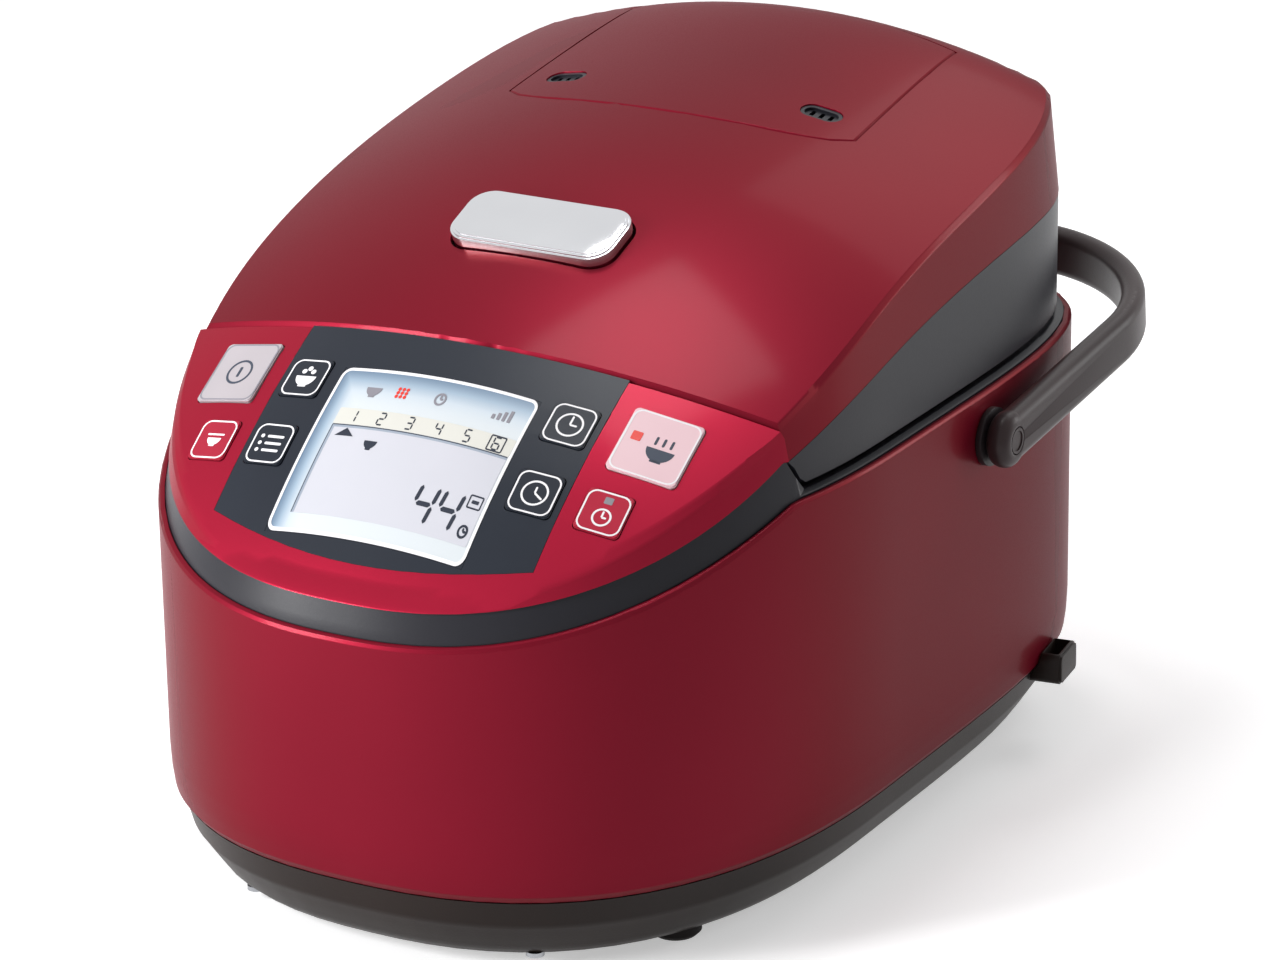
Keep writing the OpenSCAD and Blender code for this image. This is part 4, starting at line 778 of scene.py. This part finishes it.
def settle(o, mat, body):
    """Gives a mark its one material and the body it moves with."""
    o.data.materials.clear()
    o.data.materials.append(mat)
    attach(o, body)


def on_key(name, parts, key, mat):
    """Joins the shapes and sets them on the flat top of a key."""
    o = joined(name, parts)
    thicken(o, INK)
    x, y = KEYS[key][:2]
    top = Matrix.Translation((0, 0, KEY_TOP * MM)) @ Matrix.Scale(MM, 4)
    o.data.transform(crown_frame(x, y) @ top)
    settle(o, mat, key + "_body")


def cut_across(o, axis):
    """Cuts a flat mark into strips, so that it can follow a curved surface."""
    values = [v.co[axis] for v in o.data.vertices]
    low, high = min(values), max(values)
    count = int((high - low) / DRAPE_STEP)
    for k in range(1, count + 1):
        at, normal = [0, 0, 0], [0, 0, 0]
        at[axis] = low + (high - low) * k / (count + 1)
        normal[axis] = 1
        bpy.ops.mesh.select_all(action="SELECT")
        bpy.ops.mesh.bisect(plane_co=at, plane_no=normal)


def draped(name, parts, mat, rise, thickness=INK, to_plan=None):
    """Joins the shapes, cuts them finely, and lays them over the crown."""
    o = joined(name, parts)
    bpy.ops.object.mode_set(mode="EDIT")
    cut_across(o, 0)
    cut_across(o, 1)
    bpy.ops.object.mode_set(mode="OBJECT")
    thicken(o, thickness)
    for v in o.data.vertices:
        x, y = to_plan(v.co.x, v.co.y) if to_plan else (v.co.x, v.co.y)
        v.co = on_crown(x, y, rise + v.co.z)
    bpy.ops.object.shade_smooth_by_angle(angle=math.radians(DRAPE_CREASE_DEG))
    settle(o, mat, "body")


print("marks on keys lie", KEY_TOP, "mm over the panel")

# %% [markdown]
# Every key has a printed outline, and a plain sign that says what it does: a clock, a bowl, a
# list. Two of them carry a small lamp. Signs like these need no words, so they can be read in
# any language.

# %% Keys: places and shapes
# middle, width and length of each key in mm
KEYS = {
    "key_cancel": (-81.8, -87.3, 25.2, 26.0), "key_small_batch": (-76.3, -112.0, 16.3, 16.3),
    "key_rice": (-51.8, -91.4, 16.3, 16.3), "key_menu": (-51.8, -114.4, 16.3, 16.3),
    "key_hour": (51.8, -91.4, 16.3, 16.3), "key_minute": (51.8, -114.4, 16.3, 16.3),
    "key_start": (81.8, -87.3, 25.2, 26.0), "key_timer": (76.3, -112.0, 16.3, 16.3),
}
OUTLINE_W, OUTLINE_R, OUTLINE_GAP = 0.6, 3.4, 0.8
LINE_W = 0.7


def bar(name, w, l, r, at=(0, 0), turn=0.0):
    """A short printed bar, whose small corners need few segments."""
    return rounded(name, w, l, r, at, turn=turn, segments=2)


def clock(prefix, r, at, hands):
    """A round clock with two hands, each given as (length, angle)."""
    shapes = [disc(prefix + "_ring", r, at, rim=LINE_W)]
    for k, (length, angle) in enumerate(hands):
        a = math.radians(angle)
        mid = (at[0] + length / 2 * math.cos(a), at[1] + length / 2 * math.sin(a))
        shapes.append(bar(f"{prefix}_hand{k}", length, LINE_W, 0.3, mid, angle))
    return shapes


def bowl(prefix, w, at):
    """A rice bowl: half a disc over a small foot."""
    half = disc(prefix + "_cup", w / 2, at)
    bpy.ops.object.mode_set(mode="EDIT")
    bpy.ops.mesh.select_all(action="SELECT")
    bpy.ops.mesh.bisect(plane_co=(0, at[1], 0), plane_no=(0, 1, 0), clear_outer=True)
    bpy.ops.object.mode_set(mode="OBJECT")
    return [half, bar(prefix + "_foot", w * 0.4, 0.8, 0.2, (at[0], at[1] - w / 2))]


print("keys:", len(KEYS))

# %% [markdown]
# The grey outline belongs to the pale cancel key, since white wouldn't show on silver. Signs on
# dark keys are white for the same reason, and those on pale keys are dark.

# %% Keys: outlines and signs
for key, (x, y, w, l) in KEYS.items():
    ink = grey_ink if key == "key_cancel" else white_ink
    line = rounded(key + "_rim", w - OUTLINE_GAP, l - OUTLINE_GAP, OUTLINE_R, rim=OUTLINE_W)
    on_key(key + "_outline", [line], key, ink)

stop = [disc("stop_ring", 5.4, rim=0.9), bar("stop_bar", 1.2, 4.4, 0.3)]
on_key("sign_cancel", stop, "key_cancel", dark_ink_and_painted_shadow)
small = bowl("small_bowl", 6.0, (0, 0.6)) + [bar("small_line", 7.4, 0.7, 0.2, (0, 2.0))]
on_key("sign_small_batch", small, "key_small_batch", white_ink)
GRAINS = [(-1.9, 2.6), (1.9, 2.6), (0, 3.9)]
rice = [disc(f"grain_{k}", 1.0, at, corners=16) for k, at in enumerate(GRAINS)]
on_key("sign_rice", rice + bowl("rice_bowl", 8.4, (0, 0.6)), "key_rice", white_ink)
ROWS = [2.8, 0.0, -2.8]
menu = [bar(f"menu_line_{k}", 7.0, 1.0, 0.4, (1.2, y)) for k, y in enumerate(ROWS)]
menu += [disc(f"menu_dot_{k}", 0.75, (-4.4, y), corners=16) for k, y in enumerate(ROWS)]
on_key("sign_menu", menu, "key_menu", white_ink)
hour = clock("hour_clock", 4.8, (0, 0), [(2.6, 0), (3.6, 90)])
on_key("sign_hour", hour, "key_hour", white_ink)
minute = clock("minute_clock", 4.8, (0, 0), [(2.4, 90), (3.7, -30)])
on_key("sign_minute", minute, "key_minute", white_ink)
cook = bowl("cook_bowl", 10.0, (2.2, -0.6))
cook += [bar(f"steam_{k}", 0.9, 3.4, 0.4, (2.2 + 2.8 * (k - 1), 2.4)) for k in range(3)]
on_key("sign_start", cook, "key_start", dark_ink_and_painted_shadow)
on_key("lamp_start", [bar("start_led", 3.6, 3.6, 0.4, (-7.6, 2.0))], "key_start", red_lens)
timer = clock("timer_clock", 3.4, (0, -1.9), [(1.7, 0), (2.4, 90)])
on_key("sign_timer", timer, "key_timer", white_ink)
on_key("lamp_timer", [bar("timer_led", 3.0, 2.6, 0.3, (0, 4.6))], "key_timer", grey_lens)

# %% [markdown]
# The display is a pale liquid crystal behind a printed window. Its glass looks pale grey, with a
# painted blue grey shadow along the left and the far edge, where the mask stands over it. The
# painted shadow is a colour that changes with the place on the glass, so it is the same from every
# side.

# %% Finish: display glass with a painted mask shadow
WINDOW_LEFT, WINDOW_RIGHT, WINDOW_FRONT, WINDOW_REAR = -38.4, 38.4, -139.4, -87.2
# Where the painted shadow of the mask lies: across its left edge in m, and across its far edge in
# mm from the window's rear edge.
SHADE_LEFT_M, SHADE_INNER_M = -0.0385, -0.026
SHADE_TOP, SHADE_BOTTOM = 1, -14


def crystal_pane():
    """Pale glass with a painted blue grey shadow of the mask at the left and far edge, which fades
    to the right and towards the front.
    """
    mat = blank("LCD_glass_painted_mask_shadow")
    where = add(mat, "TexCoord")
    axes = add(mat, "SeparateXYZ", {"Vector": (where, "Object")})
    left = add(mat, "MapRange", {"Value": (axes, "X")}, {
        "From Min": SHADE_LEFT_M, "From Max": SHADE_INNER_M}, interpolation_type="SMOOTHSTEP")
    top = add(mat, "MapRange", {"Value": (axes, "Y")}, {
        "From Min": (WINDOW_REAR + SHADE_TOP + SHIFT) * MM,
        "From Max": (WINDOW_REAR + SHADE_BOTTOM + SHIFT) * MM}, interpolation_type="SMOOTHSTEP")
    least = add(mat, "Math", {0: (left, "Result"), 1: (top, "Result")}, operation="MINIMUM")
    shade = ramp(mat, least, "Value", [
        (0.0, linear("#566f88")), (0.3, linear("#93a6b8")),
        (0.65, linear("#bcc6cf")), (1.0, linear("#c9cfd3"))])
    cells = add(mat, "TexNoise", {"Vector": (where, "Object")}, {"Scale": 2500.0})
    relief = add(mat, "Bump", {"Height": (cells, "Fac")}, {"Strength": 0.02, "Distance": 0.0001})
    links = {"Base Color": (shade, "Color"), "Normal": (relief, "Normal")}
    skin = add(mat, "BsdfPrincipled", links, {
        "Roughness": 0.28, "Coat Weight": 0.4, "Coat Roughness": 0.08})
    return close(mat, skin)


# Glass over print: pale, with a painted shadow of the mask at its left and far edge, and the sharp
# gloss of a coated pane.
pane_with_painted_shadow = crystal_pane()
# The polariser: a shade greyer than the glass, so the time's field stands out.
field_ink = finish_of("LCD_polariser_pale", "#c4c4cc", "#bebfc7", 0.4, 0.3)
# A cream mask: the one warm tone in the window.
strip_ink = finish_of("LCD_mask_cream", "#d0cfc8", "#c9c8c1", 0.4, 0.35)
# The mask's shadow on the field, as a soft blue grey line.
shade_ink = finish_of("LCD_mask_shadow", "#9aa3b0", "#8f98a6", 0.4, 0.35)
print("window", WINDOW_RIGHT - WINDOW_LEFT, "mm wide")

# %% [markdown]
# The window is built in layers. As in reality, there are the pane, the white line printed round it,
# a cream strip and the field for the time. The pane carries a painted shadow of the mask. Over the
# field lie a painted shadow that the mask throws on it and a thin dark line of painted shadow where
# the field steps down. Every layer has its own height over the panel, so that no two lie in the
# same place.

# %% Display: pane, border and field
# heights of the layers over the panel in mm
UNDER_FILM, BORDER_RISE, ON_PANE = -0.06, 0.0, 0.02
ON_FIELD, STEP_SHADOW_RISE, CRYSTAL = 0.04, 0.06, 0.09
BORDER_THICK, LAMP_RISE = 0.1, 0.05
FIELD_LEFT, FIELD_RIGHT, FIELD_FRONT, FIELD_REAR = -31.2, 37.0, -134.2, -107.1

cx, cy = (WINDOW_LEFT + WINDOW_RIGHT) / 2, (WINDOW_FRONT + WINDOW_REAR) / 2
ww, wl = WINDOW_RIGHT - WINDOW_LEFT, WINDOW_REAR - WINDOW_FRONT
fx, fy = (FIELD_LEFT + FIELD_RIGHT) / 2, (FIELD_FRONT + FIELD_REAR) / 2
fw, fl = FIELD_RIGHT - FIELD_LEFT, FIELD_REAR - FIELD_FRONT
pane = rounded("pane", ww - 0.6, wl - 0.5, 3.0, (cx, cy))
draped("display_pane", [pane], pane_with_painted_shadow, UNDER_FILM)
border = rounded("border", ww, wl, 3.2, (cx, cy), rim=1.0)
draped("display_border", [border], white_ink, BORDER_RISE, thickness=BORDER_THICK)
strip = rounded("strip", fw + 0.6, 5.6, 0.5, (fx, FIELD_REAR + 2.9))
draped("display_strip", [strip], strip_ink, ON_PANE)
draped("display_field", [rounded("field", fw, fl, 0.6, (fx, fy))], field_ink, ON_PANE)
shadow = [rounded("shade_left", 1.1, fl, 0.2, (FIELD_LEFT + 0.5, fy)),
          rounded("shade_top", fw, 0.9, 0.2, (fx, FIELD_REAR - 0.4))]
draped("display_field_shade", shadow, shade_ink, ON_FIELD)
# A thin dark line of painted shadow along the field's left and far edge, where the field steps down
# under the mask.
edge = [rounded("step_shadow_left", 0.35, fl, 0.1, (FIELD_LEFT, fy)),
        rounded("step_shadow_top", fw, 0.35, 0.1, (fx, FIELD_REAR))]
draped("display_field_step_shadow", edge, dark_ink_and_painted_shadow, STEP_SHADOW_RISE)
print("field", round(fw, 1), "x", round(fl, 1), "mm")

# %% [markdown]
# The time and the menu numbers are seven-segment figures, as liquid crystals draw them: each
# stroke is a separate electrode. The big figures lean a little, which makes them easier to
# read.

# %% Display: shapes of its figures
SEGMENTS = {"1": "bc", "2": "abged", "3": "abgcd", "4": "fgbc", "5": "afgcd", "6": "afgcde"}
DIGIT_W, DIGIT_H, STROKE = 6.2, 10.2, 1.3
STROKE_R, LEAN, LEAN_FROM_Y = 0.48, 0.12, -130
SQRT_3 = 1.732


def digit(prefix, figure, x0, y0, scale=1.0):
    """One seven-segment figure whose lower left corner is at x0, y0."""
    w, h, t = DIGIT_W * scale, DIGIT_H * scale, STROKE * scale
    across = {"a": h, "g": h / 2, "d": 0.0}
    upright = {"f": (0, 0.75), "b": (w, 0.75), "e": (0, 0.25), "c": (w, 0.25)}
    shapes = []
    for s in SEGMENTS[figure]:
        if s in across:
            size, middle = (w - 0.8 * t, t), (x0 + w / 2, y0 + across[s])
        else:
            size = (t, h / 2 - 0.5 * t)
            middle = (x0 + upright[s][0], y0 + upright[s][1] * h)
        shapes.append(rounded(f"{prefix}_{s}", *size, t * STROKE_R, middle, segments=1))
    return shapes


def wedge(name, w, l, at):
    """A flat triangle whose tip points to the rear."""
    o = disc(name, 1.0, corners=3)
    stretch = Matrix.Diagonal((w / SQRT_3, l / 1.5, 1, 1))
    o.data.transform(Matrix.Translation((at[0], at[1], 0)) @ stretch)
    return o


def slanted(x, y):
    """The plan position of a mark that leans to the right."""
    return x + LEAN * (y - LEAN_FROM_Y), y


print("strokes in the menu row:", sum(len(strokes) for strokes in SEGMENTS.values()))

# %% [markdown]
# The field shows the minutes. Over it stands the row of menu numbers, with the last one framed
# and a pointer under the first. The other marks are two clocks, two bowls, a level sign, a
# framed bar and a lamp of nine dots.

# %% Display: figures and marks
TIME_Y, TIME_SCALE = -131.8, 1.07
figures = digit("tens", "4", 12.2, TIME_Y, TIME_SCALE)
figures += digit("units", "4", 21.6, TIME_Y, TIME_SCALE)
draped("display_minutes", figures, crystal_ink, CRYSTAL, to_plan=slanted)

MENU_X, MENU_PITCH, MENU_Y, MENU_SCALE = -26.2, 11.2, -106.0, 0.38
numbers = [s for k, f in enumerate("123456")
           for s in digit(f"menu{f}", f, MENU_X + MENU_PITCH * k, MENU_Y, MENU_SCALE)]
chosen = (MENU_X + MENU_PITCH * 5 + 1.2, MENU_Y + 1.9)
numbers.append(rounded("menu_box", 6.0, 5.2, 0.6, chosen, rim=0.45))
draped("display_menu_marks", numbers, crystal_ink, CRYSTAL)
pointer = [wedge("pointer", 7.2, 2.6, (-24.8, -109.8))] + bowl("menu_bowl", 5.0, (-13.4, -111.4))
draped("display_pointer", pointer, crystal_ink, CRYSTAL)
lamp = [disc(f"dot_{k}", 0.62, (-13.0 + 1.6 * (k % 3), -95.9 + 1.3 * (k // 3)), corners=12)
        for k in range(9)]
draped("display_lamp", lamp, red_lens, LAMP_RISE)
tops = clock("heat_clock", 2.2, (3.6, -94.6), [(1.1, 0), (1.5, 90)])
tops += bowl("warm_bowl", 6.0, (-22.5, -93.8))
tops += [bar(f"level_{k}", 1.2, 1.6 + 0.8 * k, 0.2, (25.0 + 2.0 * k, -96.0 + 0.4 * k))
         for k in range(4)]
draped("display_top_marks", tops, grey_ink, LAMP_RISE)
SIDE_X, POWER_Y = 33.6, -122.2
sides = [rounded("power_box", 5.2, 4.0, 0.6, (SIDE_X, POWER_Y), rim=0.45),
         rounded("power_bar", 2.6, 1.0, 0.2, (SIDE_X, POWER_Y))]
sides += clock("minute_mark", 1.9, (SIDE_X, -130.6), [(1.0, 90), (1.2, 0)])
draped("display_side_marks", sides, crystal_ink, CRYSTAL)

# %% [markdown]
# Now the studio. The floor is a wide sheet of white paper, as studios for products have, and its
# slight glow to the eye keeps it white without lighting the object more. Seen from below it is
# clear, so that the underside can be looked at too.

# %% Studio: the floor
FLOOR_R, FLOOR_GLOW = 6, 0.45


def seen_directly(owner):
    """One for rays from the eye, from a mirror or through glass, and nought for the rest."""
    ray = add(owner, "LightPath")
    mirror = add(owner, "Math", {
        0: (ray, "Is Glossy Ray"), 1: (ray, "Is Transmission Ray")}, operation="MAXIMUM")
    return add(owner, "Math", {0: (ray, "Is Camera Ray"), 1: (mirror, 0)}, operation="MAXIMUM")


def pale_floor():
    """White paper that is lifted to white where it is seen directly, and clear from below."""
    mat = blank("paper_backdrop_white")
    where = add(mat, "TexCoord")
    fibre = add(mat, "TexNoise", {"Vector": (where, "Object")}, {"Scale": 300.0})
    tone = ramp(mat, fibre, "Fac", [(0.0, linear("#f4f4f5")), (1.0, linear("#f8f8f9"))])
    paper = add(mat, "BsdfDiffuse", {"Color": (tone, "Color")})
    glow = add(mat, "Emission", values={"Color": (1, 1, 1, 1), "Strength": FLOOR_GLOW})
    both = add(mat, "AddShader", {0: (paper, 0), 1: (glow, 0)})
    lift = add(mat, "MixShader", {"Fac": (seen_directly(mat), 0), 1: (paper, 0), 2: (both, 0)})
    side = add(mat, "NewGeometry")
    clear = add(mat, "BsdfTransparent")
    sheet = add(mat, "MixShader", {"Fac": (side, "Backfacing"), 1: (lift, 0), 2: (clear, 0)})
    return close(mat, sheet)


bpy.ops.object.select_all(action="DESELECT")
bpy.ops.mesh.primitive_circle_add(
    vertices=96, radius=FLOOR_R, fill_type="NGON", location=(0, 0, 0))
floor = bpy.context.object
floor.name = "studio_floor"
floor.data.materials.append(pale_floor())
print("floor", 2 * FLOOR_R, "m across")

# %% [markdown]
# Four soft boxes light the cooker: a tall one at the left front as the main light, a small one
# overhead, a wide one behind that draws the lid's edge, and a narrow one at the rear right. The
# world is dim for the light it gives and white where it is seen, so lacquer and chrome have
# something bright to mirror.

# %% Studio: soft boxes and world
DIM_WORLD, WHITE_WORLD = 0.16, 1.0


def soft_box(name, at, aim, size, watts, size_y):
    """A rectangular area lamp at a place in m that faces another place."""
    bpy.ops.object.light_add(type="AREA", location=at)
    lamp = bpy.context.object
    lamp.name = name
    lamp.data.shape = "RECTANGLE"
    lamp.data.size = size
    lamp.data.size_y = size_y
    lamp.data.energy = watts
    lamp.rotation_euler = (Vector(aim) - Vector(at)).to_track_quat("-Z", "Y").to_euler()
    print(name, watts, "W")


soft_box("key_box", (-0.9, -1.2, 0.56), (0, -0.03, 0.1), 0.4, 33, 1.0)
soft_box("top_box", (-0.22, 0.12, 1.5), (0, 0, 0.15), 0.5, 8, 0.5)
soft_box("back_box", (0.2, 1.0, 1.3), (0, 0, 0.15), 1.1, 5, 0.6)
soft_box("rim_box", (1.1, 1.4, 0.5), (0, 0.05, 0.1), 0.3, 6, 0.8)

world = bpy.data.worlds.new("studio_world")
bpy.context.scene.world = world
world.use_nodes = True
world.node_tree.nodes.clear()
dim = add(world, "Background", values={"Color": (1, 1, 1, 1), "Strength": DIM_WORLD})
white = add(world, "Background", values={"Color": (1, 1, 1, 1), "Strength": WHITE_WORLD})
sky = add(world, "MixShader", {"Fac": (seen_directly(world), 0), 1: (dim, 0), 2: (white, 0)})
add(world, "OutputWorld", {"Surface": (sky, 0)})
bpy.context.scene.view_settings.view_transform = "Standard"
